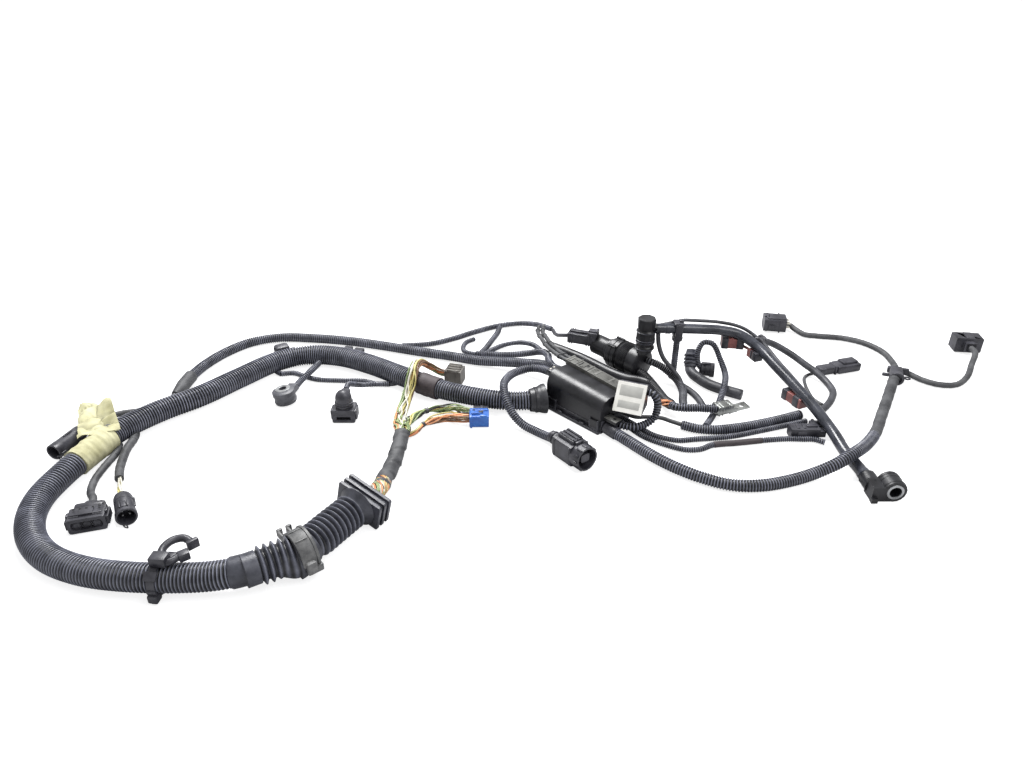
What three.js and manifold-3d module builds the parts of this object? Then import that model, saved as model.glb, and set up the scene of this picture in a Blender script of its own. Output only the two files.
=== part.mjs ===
// Wiring harness of a vehicle, lying flat: a thick corrugated trunk with a bulkhead grommet,
// a control box, side branches with their connectors, a valve and a rigid pipe.
// Millimetres, +Z up, the floor at z = 0. Cable routes are the centre lines of the cables.

import * as THREE from "three";
import { mergeVertices } from "three/addons/utils/BufferGeometryUtils.js";
import Module from "manifold-3d";

const wasm = await Module();
wasm.setup();

// Clearance between two pieces that touch.
const FIT = 0.3;

// Outer radii of the cables and hoses.
const TRUNK_R = 12.75;
const UPPER_R = 6.4;
const FRONT_R = 6.5;
const PIPE_R = 6;
const LOOP_R = 5;
const SIDE_R = 4.3;
const TAIL_R = 3.6;
const SHEATH_R = 8.8;
const BUNDLE_R = 5.6;
const SLIM_R = 3.3;
const LEAD_R = 4;
const ROUND_LEAD_R = 4.7;
const ELBOW_LEAD_R = 3.3;
const WIRES_R = 3.6;
const REAR_R = 3.9;
const LOOP_HOSE_R = 3.9;
const THICK_HOSE_R = 6.5;
const VALVE_HOSE_R = 6.3;
const GREY_HOSE_R = 4.2;
const TERMINAL_R = 5;
const LIGHT_R = 2.4;
const CLIP_LEAD_R = 2;
const YELLOW_WIRES_R = 4;
const ROUND_WIRES_R = 2.6;
const BRANCH_R = 4.4;
const BRANCH_HOOK_R = 3.2;
const BRANCH_RISER_R = 3.8;
const BRANCH_ARCH_R = 3.5;
const STRAP_R = 2;
const LEFT_CAM_R = 4;
const RIGHT_CAM_R = 3.8;
const PLUG_LEAD_R = 2.7;
const OUTLET_R = 5;
const VACUUM_R = 2.8;
const OUTLET_BRANCH_R = 4;
const RELAY_WIRES_R = 1.8;

// Grommet: the axis height, the bellows and the square flange.
const GROMMET_Z = 20.6;
const BELLOWS_R = 17;
const BELLOWS_ROOT_R = 13.8;
const BELLOWS_COLLAR_R = 15;
const CLAMP_R = 20.3;
const CLAMP_WIDTH = 12;
const FLANGE_WIDTH = 50;
const FLANGE_HEIGHT = 28;
const FLANGE_PLATE = 3.4;
const FLANGE_ROLL = 15;

// Control box: the corner nearest the trunk, the long side and the end side.
const BOX_CORNER = [-27.3, 45.6];
const BOX_TURN = -0.813;
const BOX_LENGTH = 84;
const BOX_WIDTH = 50;
const BOX_BASE_HEIGHT = 16;
const BOX_LID_TOP = 47.5;
const BOX_LID_FRONT = -1.5;
const BOX_SKIRT = 8;
const BOX_LID_FALL = 6;
const DUCT_FROM = 33;
const DUCT_WIDTH = 14.4;
const DUCT_SEAT = 43;

const TRUNK = [
  [-30, 41, 13], [-44, 38, 13], [-62, 36, 13], [-84, 38, 13], [-118, 48, 13],
  [-154, 63, 13], [-206, 97, 13], [-248, 126, 13], [-290, 147, 13], [-332, 151, 13],
  [-366, 135, 13], [-402, 91, 13], [-435, 47, 13], [-470, 12, 13.2], [-496, -29, 14.6],
  [-508, -72, 15], [-518, -112, 13.8], [-521, -145, 13], [-514, -175, 13], [-497, -204, 13],
  [-470, -228, 13], [-432, -245, 14], [-390, -254, 16], [-345, -256, 16.6],
  [-318, -255, 17.6], [-302, -253, 19.2], [-288, -249, 20.4],
];
const UPPER = [
  [-469, 84, 8.5], [-467, 108, 7.5], [-461, 138, 6.6], [-446, 171, 6.6], [-422, 200, 6.6],
  [-387, 215, 6.6], [-340, 213, 6.6], [-288, 204, 6.6], [-240, 190, 6.6], [-190, 173, 6.6],
  [-150, 161, 6.6], [-112, 147, 7], [-84, 138, 10], [-52, 125, 15], [-28, 110, 20],
  [-6.3, 84.7, 22], [2.9, 74.9, 22],
];
const FRONT = [
  [36.2, -11.6, 7.6], [42, -18.6, 7], [59, -40, 6.6], [77, -63, 6.6], [97, -84, 6.6],
  [122, -103, 6.6], [150, -116, 6.6], [180, -117, 6.6], [214, -108, 6.6], [240, -99, 9],
  [262, -93, 16], [284, -80, 20.2], [308, -54, 13], [333, -21, 7], [354, 14, 6.6],
  [374, 47, 6.6], [390, 74, 6.6], [405, 99, 7.5],
];
const PIPE = [
  [106.3, 112, 70], [134, 114.4, 68.5], [161, 118, 66], [188, 123, 62], [211, 122, 57],
  [229, 106, 50], [245, 70, 40], [261, 31, 30], [272, 2, 22], [281, -26, 13],
  [285, -57, 7], [288, -87, 6.8], [289, -114, 8],
];
const LOOP = [
  [-17.1, 55.1, 37], [-24, 62.4, 37], [-36, 74, 35], [-50, 77, 33], [-66, 69, 31.6],
  [-76, 52, 31.6], [-78, 36, 31.6], [-75, 18, 26], [-68, 4, 16], [-57, -6, 8],
  [-42, -17, 5.4], [-28, -31, 7], [-19, -44, 11],
];
const SIDE = [
  [81, -2.9, 47], [86, -5, 46], [91, -7, 39], [92, -7.6, 29], [89, -9, 18], [79, -14, 13],
  [66, -19, 12.2], [53, -14.6, 12], [43.6, -3.5, 12],
];
const TAIL = [
  [-541, -20, 9], [-533, 5, 7], [-519, 22, 4.5], [-500, 29, 4], [-486, 38, 4.5],
  [-475, 44, 6.6], [-471, 50, 8], [-470.3, 57.3, 8.2],
];
const SIX_LEAD = [
  [-489.3, -62.6, 4.4], [-490.5, -82, 4.4], [-490, -105, 4.4], [-484, -126, 5],
  [-474, -140, 8], [-468.9, -153.9, 9],
];
const ROUND_LEAD = [
  [-481.4, -35.2, 5], [-481, -50, 5], [-477.5, -68, 5], [-471.5, -89, 6], [-463, -108, 8],
];
const KNOCK_LEAD = [
  [-312.4, 137, 12.4], [-316, 122, 12.2], [-321, 106, 11.5], [-328.4, 92, 8], [-331.8, 78.9, 7],
];
const ELBOW_LEAD = [
  [-218.3, 89.9, 4.4], [-236, 92, 3.6], [-250, 82, 8], [-258, 66, 18], [-260, 50, 27], [-260, 36, 29],
];
const SHORT_LEAD = [
  [-360, 118, 3.4], [-344, 120, 3.4], [-329, 112, 3.4], [-312, 104, 3.4], [-280, 101, 3.4],
  [-255, 100, 3.4], [-236, 92, 3.6],
];
const SHEATH = [
  [-202.7, -152.2, 20.6], [-198.6, -145.6, 20.4], [-196, -132, 17], [-195, -114, 13],
  [-192, -90, 9.4], [-190, -70, 9.4], [-188, -50, 12.8], [-187.6, -35, 13.4],
];
const WIRES_A = [
  [-191, -34.4, 16], [-191, -28.5, 16], [-195, -10, 10], [-196, 20, 6], [-193, 48, 9],
  [-190, 61, 17.6], [-188, 70, 26.6], [-186, 80, 32], [-184, 92, 32.4], [-181, 102, 29],
  [-174, 112, 20], [-165, 113, 13], [-157, 109, 11], [-150.6, 107, 10.6],
];
const WIRES_B = [
  [-182.6, -34.4, 16], [-182.6, -28.5, 16], [-186, -14, 11.6], [-182, 10, 5.6], [-168, 27, 5],
  [-151, 30, 6], [-134, 28, 7.4], [-122, 22.2, 7], [-112, 21.3, 6.8],
];
const WIRES_C = [
  [-187.4, -34.4, 8.2], [-187, -29.5, 8], [-177, -15, 4.8], [-167, 1, 4.4], [-158, 9, 4.4],
  [-145, 12, 6], [-132, 8, 8], [-124, 6.2, 8], [-117, 6.1, 8],
];
const REAR = [
  [-217, 195.6, 4.2], [-179, 201, 4.2], [-149, 217, 4.2], [-119, 239, 4.2], [-87, 258, 4.2],
  [-58, 264, 5], [-34, 252, 9], [-14, 227, 14],
];
const VALVE_HOSE = [
  [88.6, 105.2, 13], [93, 100, 12.6], [102, 80, 9], [107, 62, 8], [111, 44, 9], [115, 28, 13],
];
const TERMINAL_LEAD = [
  [115.2, 26.6, 13.4], [119, 19, 15], [128, 15.6, 15.8], [145, 15.4, 15.8], [164, 15.8, 14.4],
];
const LOOP_HOSE = [
  [172, 120, 9], [165.5, 121, 17], [163.5, 121, 34], [169, 121, 46], [180, 119, 45],
  [189, 108, 29], [192, 92, 19.5], [187, 70, 18.4], [178, 48, 11], [166, 25, 4.2],
  [150, -3.5, 4.2],
];
const THICK_HOSE = [
  [155.9, 119.7, 12.4], [155.8, 116.5, 9.8], [158, 110, 8], [163, 101, 7], [172, 86, 6.8],
  [188, 72, 6.8], [206, 60, 6.8],
];
const BUNDLE = [
  [122, -4.5, 5.8], [137, -12, 5.8], [158, -15, 5.8], [186, -10, 5.8], [224, 2, 5.8],
  [262, 17, 5.8],
];
const LIGHT_CABLE = [
  [56.9, 8.8, 14], [70, 0, 13.6], [84, 3, 11.6], [100, 5, 9], [112, 1.5, 6.4], [124, -5.5, 5.8],
];
const SECOND = [
  [60, 11.4, 3.6], [72, -3, 3.5], [88, -22, 3.5], [112, -32, 3.5], [132, -30, 3.5],
  [170, -25, 3.5], [211, -12, 3.5], [240, -2, 3.5], [266, 7, 3.5],
];
const FLOOR_CABLE = [
  [54, 6, 3.6], [64, -7, 3.5], [77, -25, 3.5], [97, -40, 3.5], [118, -50, 3.5],
  [134, -49, 3.5], [149, -41, 3.5], [176, -37, 3.5], [206, -32, 3.5], [233, -29, 3.5],
  [250, -29.7, 3.5], [262, -30, 3.5], [272, -36, 3.5],
];
const GREY_HOSE = [
  [245, 132, 44], [266, 140, 33], [287, 134, 22], [302, 122, 14], [312, 109, 10],
  [320, 92, 5.4], [320, 72, 4.4], [311, 53, 4.4], [299, 37, 4.4], [286, 24, 4.4],
];
const CLIP_LEAD = [
  [320, 121, 5], [314, 122, 2.3], [306, 118, 2.2], [298, 109, 2.2], [294, 94, 2.2],
  [292, 77, 2.2], [292, 58, 2.2], [297.9, 43.9, 2.6],
];
const LEFT_CAM_LEAD = [
  [317.3, 250.9, 8.6], [323, 249.8, 8.4], [330, 241, 5.6], [338, 229, 4.6], [354, 225, 4.2],
  [387, 218, 4.2],
  [410, 203, 4.2], [424, 177, 4.2], [424, 148, 5], [418, 124, 8],
];
const RIGHT_CAM_LEAD = [
  [418, 122, 8], [430, 116, 5.4], [441, 102, 4.2], [456, 90, 4.2], [477, 89, 4.2],
  [500, 107, 4.8], [519, 134, 8], [536, 160, 12], [537.7, 172.9, 12],
];
const ROUND_WIRES = [[-462.6, -108.6, 8.1], [-455, -124, 9.8], [-443.6, -143, 10.4]];
const BRANCH = [
  [-116, 171, 4.6], [-100, 170, 4.6], [-82, 165, 6], [-55, 156, 12], [-32, 143, 22],
  [-24, 114, 32], [-23.5, 92, 36], [-18.7, 75.6, 37], [-13.9, 70.5, 37], [-7.7, 64, 37],
];
const BRANCH_HOOK = [
  [-106, 170, 4.6], [-122, 173, 4], [-132, 181, 3.4], [-134, 194, 3.4], [-130, 208, 3.4],
  [-120, 217, 3.4],
];
const BRANCH_RISER = [
  [-110, 172, 4.6], [-103, 190, 4], [-96, 212, 4], [-88, 238, 4], [-86, 251.6, 4.2],
];
const BRANCH_ARCH = [
  [-104, 171, 4.6], [-92, 186, 4.2], [-80, 197, 4.2], [-60, 197, 8], [-42, 176, 16], [-32, 150, 21],
];
const STRAP = [
  [3.3, 71.7, 46.4], [-4.3, 79.8, 46.4], [-19, 114, 42], [-27, 164, 31], [-30, 205, 20],
  [-28, 229, 18],
];
const PLUG_LEAD = [[-12, 224.6, 13.8], [-9, 212, 13], [-2, 195, 20], [9, 181, 27]];
const OUTLET = [
  [100.6, 115.9, 24.4], [104.6, 111.6, 24.2], [114, 109, 21], [126, 103, 14], [135, 91, 9],
  [138, 72, 5.4], [134, 50, 5.4], [132, 36, 5.4],
];
const VACUUM = [
  [109.6, 112, 63.4], [111, 109, 50], [117, 104, 34], [128, 97, 22], [137, 88, 12], [138, 80, 7],
];
const OUTLET_BRANCH = [
  [137, 84, 7], [146, 76, 4.4], [152, 62, 4.2], [155, 44, 4.2], [155, 34, 4.2],
];
const RELAY_WIRES = [[216, 123, 42], [223, 117, 40.4], [226, 108, 39.6]];

// Shape helpers

function solidOf(geometry) {
  const bare = geometry.index ? geometry.toNonIndexed() : geometry.clone();
  bare.deleteAttribute("normal");
  bare.deleteAttribute("uv");
  const merged = mergeVertices(bare, 1e-4);
  const corners = merged.index.array;
  const kept = [];
  for (let i = 0; i < corners.length; i += 3) {
    const [a, b, c] = [corners[i], corners[i + 1], corners[i + 2]];
    if (a !== b && b !== c && c !== a) kept.push(a, b, c);
  }
  return new wasm.Manifold(
    new wasm.Mesh({
      numProp: 3,
      vertProperties: merged.attributes.position.array,
      triVerts: new Uint32Array(kept),
    }),
  );
}

function geometryOf(solid) {
  const mesh = solid.getMesh();
  const geometry = new THREE.BufferGeometry();
  geometry.setAttribute("position", new THREE.BufferAttribute(mesh.vertProperties, 3));
  geometry.setIndex(new THREE.BufferAttribute(mesh.triVerts, 1));
  return geometry.toNonIndexed();
}

function join(...geometries) {
  const solids = geometries.map(solidOf);
  return geometryOf(solids.reduce((whole, next) => whole.add(next)));
}

// Cuts tools out of a piece and keeps its main body, without slivers.
function cut(geometry, ...tools) {
  const whole = solidOf(geometry);
  const rest = tools.map(solidOf).reduce((left, tool) => left.subtract(tool), whole);
  const bodies = rest.decompose();
  return geometryOf(bodies.reduce((a, b) => (a.volume() > b.volume() ? a : b)));
}

// A round cable along a route. Room is the clearance added when it cuts another piece.
function cable(route, radius, sides = 8, room = 0) {
  const points = route.map((point) => new THREE.Vector3(...point));
  const path = new THREE.CatmullRomCurve3(points, false, "centripetal");
  const outline = [];
  const outer = radius + room;
  for (let i = 0; i < sides; i += 1) {
    const angle = ((i + 0.5) * 2 * Math.PI) / sides;
    outline.push(new THREE.Vector2(outer * Math.cos(angle), outer * Math.sin(angle)));
  }
  const step = THREE.MathUtils.clamp(radius * 3.3, 10, 36);
  return new THREE.ExtrudeGeometry(new THREE.Shape(outline), {
    extrudePath: path,
    steps: Math.max(2, Math.round(path.getLength() / step)),
    bevelEnabled: false,
  });
}

// A body of revolution from [radius, height] pairs, its axis on local Y.
function turned(profile, sides = 16) {
  const points = profile.map(([radius, height]) => new THREE.Vector2(radius, height));
  return new THREE.LatheGeometry(points, sides);
}

function rod(radius, length, sides = 16) {
  return turned([[0, 0], [radius, 0], [radius, length], [0, length]], sides);
}

// A rounded rectangle in local X and Z, pushed along local Y from 0 to its depth.
function plate(width, height, depth, corner = 1.5) {
  const w = width / 2;
  const h = height / 2;
  const outline = new THREE.Shape();
  outline.moveTo(-w + corner, -h);
  outline.lineTo(w - corner, -h);
  outline.quadraticCurveTo(w, -h, w, -h + corner);
  outline.lineTo(w, h - corner);
  outline.quadraticCurveTo(w, h, w - corner, h);
  outline.lineTo(-w + corner, h);
  outline.quadraticCurveTo(-w, h, -w, h - corner);
  outline.lineTo(-w, -h + corner);
  outline.quadraticCurveTo(-w, -h, -w + corner, -h);
  const options = { depth, bevelEnabled: false, curveSegments: 2 };
  return new THREE.ExtrudeGeometry(outline, options).rotateX(-Math.PI / 2);
}

function brick(width, depth, height) {
  return new THREE.BoxGeometry(width, depth, height);
}

// Turns local Y towards a direction in the floor plane and moves the origin to a point.
function face(geometry, at, toward) {
  return geometry.rotateZ(Math.atan2(-toward[0], toward[1])).translate(...at);
}

// Turns local Y onto the line between two points and moves the origin to the first.
function aim(geometry, from, to) {
  const start = new THREE.Vector3(...from);
  const direction = new THREE.Vector3(...to).sub(start).normalize();
  const turn = new THREE.Quaternion().setFromUnitVectors(new THREE.Vector3(0, 1, 0), direction);
  return geometry.applyQuaternion(turn).translate(...from);
}

// Ribs of a bellows or a ribbed sleeve as profile points.
function ribs(from, to, count, root, crest) {
  const pitch = (to - from) / count;
  const points = [];
  for (let i = 0; i < count; i += 1) {
    const y = from + i * pitch;
    points.push([root, y], [crest, y + pitch * 0.3], [crest, y + pitch * 0.6]);
  }
  return points;
}

const group = new THREE.Group();
group.name = "wiring_harness";

function piece(name, geometry, color, roughness = 0.6, metalness = 0) {
  const material = new THREE.MeshStandardMaterial({ color, roughness, metalness });
  material.name = `${name}_material`;
  const mesh = new THREE.Mesh(geometry, material);
  mesh.name = name;
  group.add(mesh);
}

const BLACK = 0x2c2d33;
const DARK = 0x24252a;
const GREY = 0x5c5e66;
const PAPER = 0xe2dcae;

// Trunk, its paper tape and the cable clip

const trunkHole = cable(TRUNK, TRUNK_R, 12, FIT);

function paperTape() {
  const route = [[-513, -90, 15], [-509, -74, 15.2], [-504.5, -58, 15.2], [-500, -44, 15]];
  const wrap = cable(route, TRUNK_R + 1.9, 12);
  const top = 27;
  const corners = [[-516, -62, top], [-487, -44, top], [-524, 17, 20], [-562, 20, 20]];
  const sheet = new THREE.BufferGeometry();
  const under = corners.map(([x, y, z]) => [x, y, z - 1.2]);
  const points = [...corners, ...under];
  const faces = [
    0, 1, 2, 0, 2, 3, 4, 6, 5, 4, 7, 6,
    0, 4, 5, 0, 5, 1, 1, 5, 6, 1, 6, 2, 2, 6, 7, 2, 7, 3, 3, 7, 4, 3, 4, 0,
  ];
  sheet.setAttribute("position", new THREE.Float32BufferAttribute(points.flat(), 3));
  sheet.setIndex(faces);
  return cut(join(wrap, sheet), trunkHole);
}

function cableClip() {
  const at = [-373.5, -254.8, 16.4];
  const along = [1, -0.08];
  const band = face(rod(TRUNK_R + 3, 13, 14), at, along);
  const block = face(brick(12, 13, 10).translate(0, 6.5, 18), at, along);
  const foot = face(brick(9, 9, 12).translate(12.5, 6.5, -9.8), at, along);
  const jaws = new THREE.Shape();
  jaws.moveTo(-367, -246);
  jaws.lineTo(-366, -238);
  jaws.lineTo(-361, -229);
  jaws.lineTo(-353, -224);
  jaws.lineTo(-342, -225);
  jaws.lineTo(-332, -230);
  jaws.lineTo(-335, -236);
  jaws.lineTo(-345, -231.5);
  jaws.lineTo(-352, -231);
  jaws.lineTo(-356, -235);
  jaws.lineTo(-357, -241);
  jaws.lineTo(-345, -237.5);
  jaws.lineTo(-338, -241);
  jaws.lineTo(-341, -247);
  jaws.lineTo(-358, -250);
  const hook = new THREE.ExtrudeGeometry(jaws, { depth: 10, bevelEnabled: false });
  return cut(join(band, block, foot, hook.translate(0, 0, 30)), trunkHole);
}

piece("trunk_conduit", cable(TRUNK, TRUNK_R, 12), BLACK, 0.5);
piece("paper_tape", paperTape(), PAPER, 0.9);
piece("cable_clip", cableClip(), DARK, 0.5);

// Bulkhead grommet: two bellows, the clamp ring and the grooved square flange

const JOINT = [-249, -227, GROMMET_Z];
const BELLOWS_START = [-292, -253, GROMMET_Z];
const FLANGE_FRONT = [-212, -167, GROMMET_Z];
const FLANGE_AXIS = [0.531, 0.847];

function bellows() {
  const lowerLength = 50;
  const upperLength = Math.hypot(FLANGE_FRONT[0] - JOINT[0], FLANGE_FRONT[1] - JOINT[1]) - FIT;
  const lower = turned([
    [0, 0], [14.6, 0], [14.6, 4],
    ...ribs(4, 38, 6, BELLOWS_ROOT_R, BELLOWS_R),
    [BELLOWS_ROOT_R, 38], [BELLOWS_COLLAR_R, 40], [BELLOWS_COLLAR_R, lowerLength], [0, lowerLength],
  ], 12);
  const upper = turned([
    [0, 0], [BELLOWS_COLLAR_R, 0], [BELLOWS_COLLAR_R, 11],
    ...ribs(11, 65, 9, BELLOWS_ROOT_R, BELLOWS_R),
    [BELLOWS_ROOT_R, 65], [13, 67], [13, upperLength], [0, upperLength],
  ], 12);
  const knee = new THREE.SphereGeometry(BELLOWS_COLLAR_R, 12, 8).translate(...JOINT);
  return [
    aim(lower, BELLOWS_START, JOINT),
    aim(upper, JOINT, FLANGE_FRONT),
    knee,
  ];
}

function clampRing() {
  const along = [0.72, 0.69];
  const back = [JOINT[0] - 4.3, JOINT[1] - 4.1, JOINT[2]];
  const ring = face(rod(CLAMP_R, CLAMP_WIDTH, 20), back, along);
  const ear = (y) => face(brick(16, 3, 8).translate(-24, y, 3), back, along);
  const lug = face(brick(8, 9, 12).translate(20.5, 6, -2), back, along);
  const core = face(rod(BELLOWS_COLLAR_R + 2.4, CLAMP_WIDTH + 8, 16).translate(0, -4, 0), back, along);
  return cut(join(ring, ear(1.5), ear(10.5), lug), core);
}

// The inner band of the clamp that fills the step down to the collar.
function clampSeat() {
  const along = [0.72, 0.69];
  const back = [JOINT[0] - 4.3, JOINT[1] - 4.1, JOINT[2]];
  return face(rod(BELLOWS_COLLAR_R + 2.4 - FIT, CLAMP_WIDTH, 16), back, along);
}

function flange() {
  const body = [];
  for (let i = 0; i < 3; i += 1) {
    const full = plate(FLANGE_WIDTH, FLANGE_HEIGHT, FLANGE_PLATE, 2);
    body.push(full.translate(0, 2 * i * FLANGE_PLATE, 0));
  }
  const core = plate(FLANGE_WIDTH - 5, FLANGE_HEIGHT - 5, FLANGE_PLATE * 5 - 0.4, 1.5);
  body.push(core.translate(0, 0.2, 0));
  const roll = THREE.MathUtils.degToRad(FLANGE_ROLL);
  const start = [FLANGE_FRONT[0], FLANGE_FRONT[1], GROMMET_Z];
  return face(join(...body).rotateY(roll), start, FLANGE_AXIS);
}

piece(
  "grommet_bellows",
  cut(join(...bellows(), clampSeat()), trunkHole),
  DARK,
  0.55,
);
piece("grommet_clamp", clampRing(), GREY, 0.5);
piece("grommet_flange", flange(), DARK, 0.5);

// Taped sheath and the three wire bundles with their connectors

function greyConnector() {
  const body = plate(20, 18, 21, 1.2);
  const ridges = [-6, 0, 6].map((x) => brick(2, 18, 1.4).translate(x, 10, 9.4));
  return face(join(body, ...ridges), [-149.6, 106.5, 10], [0.97, -0.24]);
}

function blueConnector() {
  const body = plate(18, 14, 22, 1.4);
  const latch = brick(7, 12, 2.4).translate(0, 8, 7.6);
  const socket = plate(13, 8, 9, 1).translate(0, 14, 0);
  return face(cut(join(body, latch), socket), [-116.6, 6, 8], [1, 0.02]);
}

function plugOnBundle() {
  return face(plate(11, 11, 17, 1.2), [-113, 21.3, 6.8], [1, 0]);
}

piece("taped_sheath", cable(SHEATH, SHEATH_R, 10), GREY, 0.85);
piece("bundle_a", cable(WIRES_A, YELLOW_WIRES_R), 0xcfc069, 0.6);
piece("grey_connector", greyConnector(), 0x6d6259, 0.6);
piece("bundle_b", join(cable(WIRES_B, WIRES_R), plugOnBundle()), 0xa9b48a, 0.6);
piece("bundle_c", cable(WIRES_C, WIRES_R), 0xe0a06a, 0.6);
piece("blue_connector", blueConnector(), 0x2f62a8, 0.5);

// Branches at the left end: barrel, six-pin and round connectors

function barrelConnector() {
  const open = [-551.5, -64, 9.2];
  const rear = [-540.6, -18, 9.2];
  const barrel = turned([
    [0, 12], [6.4, 12], [6.4, 0], [8.7, 0], [8.7, 40], [6.5, 47], [0, 47],
  ]);
  const tab = brick(3, 6, 3).translate(9, 1.5, -3);
  return join(aim(join(barrel, tab), open, rear), cable(TAIL, TAIL_R));
}

function tailBoot() {
  const sleeve = turned([[0, 0], [4.6, 0], [7.2, 18], [8, 24], [8, 46], [0, 46]], 12);
  return cut(aim(sleeve, [-470, 58, 8.2], [-467.5, 104, 8.1]), cable(UPPER, UPPER_R, 10, FIT));
}

function sixPinConnector() {
  const hood = plate(27, 14, 10, 3);
  const body = plate(33, 15.6, 19, 2.4).translate(0, 8, 0);
  const ears = [-17.2, 17.2].map((x) => plate(3.2, 9, 15, 0.8).translate(x, 9, 0));
  const latch = brick(12, 12, 2).translate(0, 16, 8.4);
  const socket = plate(27, 9, 12, 3).translate(0, 16, 0);
  const cores = [-8.4, 0, 8.4].map((x) => plate(6, 4.4, 10, 1.6).translate(x, 15, 0));
  const shell = cut(join(hood, body, ...ears, latch), socket);
  return face(join(shell, ...cores), [-468.5, -154.6, 9], [0.29, -0.957]);
}

function roundConnector() {
  const shell = turned([
    [0, 0], [6.5, 0], [9, 3], [10.3, 4], [10.3, 34], [8.2, 34], [8.2, 19], [0, 19],
  ]);
  const key = brick(4, 8, 2.4).translate(0, 27, 10.6);
  const body = face(join(shell, key), [-444.4, -141, 10.4], [0.49, -0.87]);
  return join(body, cable(ROUND_WIRES, ROUND_WIRES_R));
}

piece("barrel_connector", barrelConnector(), DARK, 0.5);
piece("tail_boot", tailBoot(), GREY, 0.8);
piece("upper_conduit", cable(UPPER, UPPER_R, 10), BLACK, 0.5);
piece("six_pin_lead", cable(SIX_LEAD, LEAD_R), GREY, 0.7);
piece("six_pin_connector", sixPinConnector(), DARK, 0.55);
piece("round_lead", cable(ROUND_LEAD, ROUND_LEAD_R), GREY, 0.7);
piece("round_connector", roundConnector(), DARK, 0.5);

// Branches in front of the trunk: knock sensor and elbow connector

function knockSensor() {
  const ring = turned([
    [4.2, 0], [12.6, 0], [12.6, 9], [13.4, 10], [13.4, 15], [9, 17.5], [4.2, 17.5], [4.2, 0],
  ], 18);
  const arm = face(brick(11, 16, 8).translate(0, 17, 0), [0, 0, 0], [0.2, 1]);
  const lean = ring.rotateX(Math.PI / 2);
  const armed = cut(join(lean, arm.translate(0, 0, 6.5)), rod(4.2, 40, 18).rotateX(Math.PI / 2));
  return armed.rotateY(-0.12).translate(-337, 53.5, 2);
}

function elbowConnector() {
  const base = plate(26, 16, 20, 2).translate(0, -10, 8.3);
  const slot = brick(16, 8, 6).translate(0, -8, 5);
  const cap = turned([
    [0, 0], [9.4, 0], [9.4, 24], [8.4, 28], [6, 31], [2.6, 32.4], [0, 32.6],
  ]).rotateX(Math.PI / 2);
  const outlet = plate(10, 9, 15, 2).translate(0, 2, 26);
  return face(cut(join(base, cap.translate(0, 1, 4), outlet), slot), [-260, 18, 0], [0, 1]);
}

piece("knock_lead", cable(KNOCK_LEAD, LEAD_R), BLACK, 0.6);
piece("knock_sensor", knockSensor(), 0x6a6c70, 0.5);
piece(
  "elbow_lead",
  join(cable(ELBOW_LEAD, ELBOW_LEAD_R), cable(SHORT_LEAD, ELBOW_LEAD_R)),
  BLACK,
  0.6,
);
piece("elbow_connector", elbowConnector(), 0x3c3a44, 0.5);

// Rear cable and the branch of thin conduits that runs to the box

function branchConduits() {
  return join(
    cable(BRANCH, BRANCH_R),
    cable(BRANCH_HOOK, BRANCH_HOOK_R),
    cable(BRANCH_RISER, BRANCH_RISER_R),
    cable(BRANCH_ARCH, BRANCH_ARCH_R),
  );
}

piece("rear_cable", cable(REAR, REAR_R), BLACK, 0.5);
piece("branch_conduits", branchConduits(), BLACK, 0.55);

// Control box, its boot, lid, label and the ribbed duct on the lid.
// Box frame: X along the long side, Y from the long face inwards, Z up.

function inBox(geometry) {
  return geometry.rotateZ(BOX_TURN).translate(BOX_CORNER[0], BOX_CORNER[1], 0);
}

// Turns a profile drawn in X and Y, pushed along Z, to stand across the box.
function across(geometry) {
  const turn = new THREE.Matrix4().makeBasis(
    new THREE.Vector3(0, 1, 0),
    new THREE.Vector3(0, 0, 1),
    new THREE.Vector3(1, 0, 0),
  );
  return geometry.applyMatrix4(turn);
}

// The lid falls a little towards its far end: every point above the base comes down with X.
function slope(geometry) {
  const foot = BOX_BASE_HEIGHT + 4;
  const points = geometry.attributes.position;
  for (let i = 0; i < points.count; i += 1) {
    const height = points.getZ(i);
    const share = Math.max(0, height - foot) / (BOX_LID_TOP - foot);
    points.setZ(i, height - BOX_LID_FALL * share * (points.getX(i) / BOX_LENGTH));
  }
  return geometry;
}

function boxBase() {
  const bottom = 0.3;
  const height = BOX_BASE_HEIGHT - bottom;
  const middle = bottom + height / 2;
  const body = brick(BOX_LENGTH, BOX_WIDTH, height).translate(BOX_LENGTH / 2, BOX_WIDTH / 2, middle);
  const ledge = brick(BOX_LENGTH - 6, 4.4, 3).translate(BOX_LENGTH / 2 + 2, -2, bottom + 1.5);
  const keepers = [11, BOX_LENGTH - 9].map((x) => brick(12, 3.4, 3.6).translate(x, -1.6, 4.9));
  return inBox(join(body, ledge, ...keepers));
}

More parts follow.
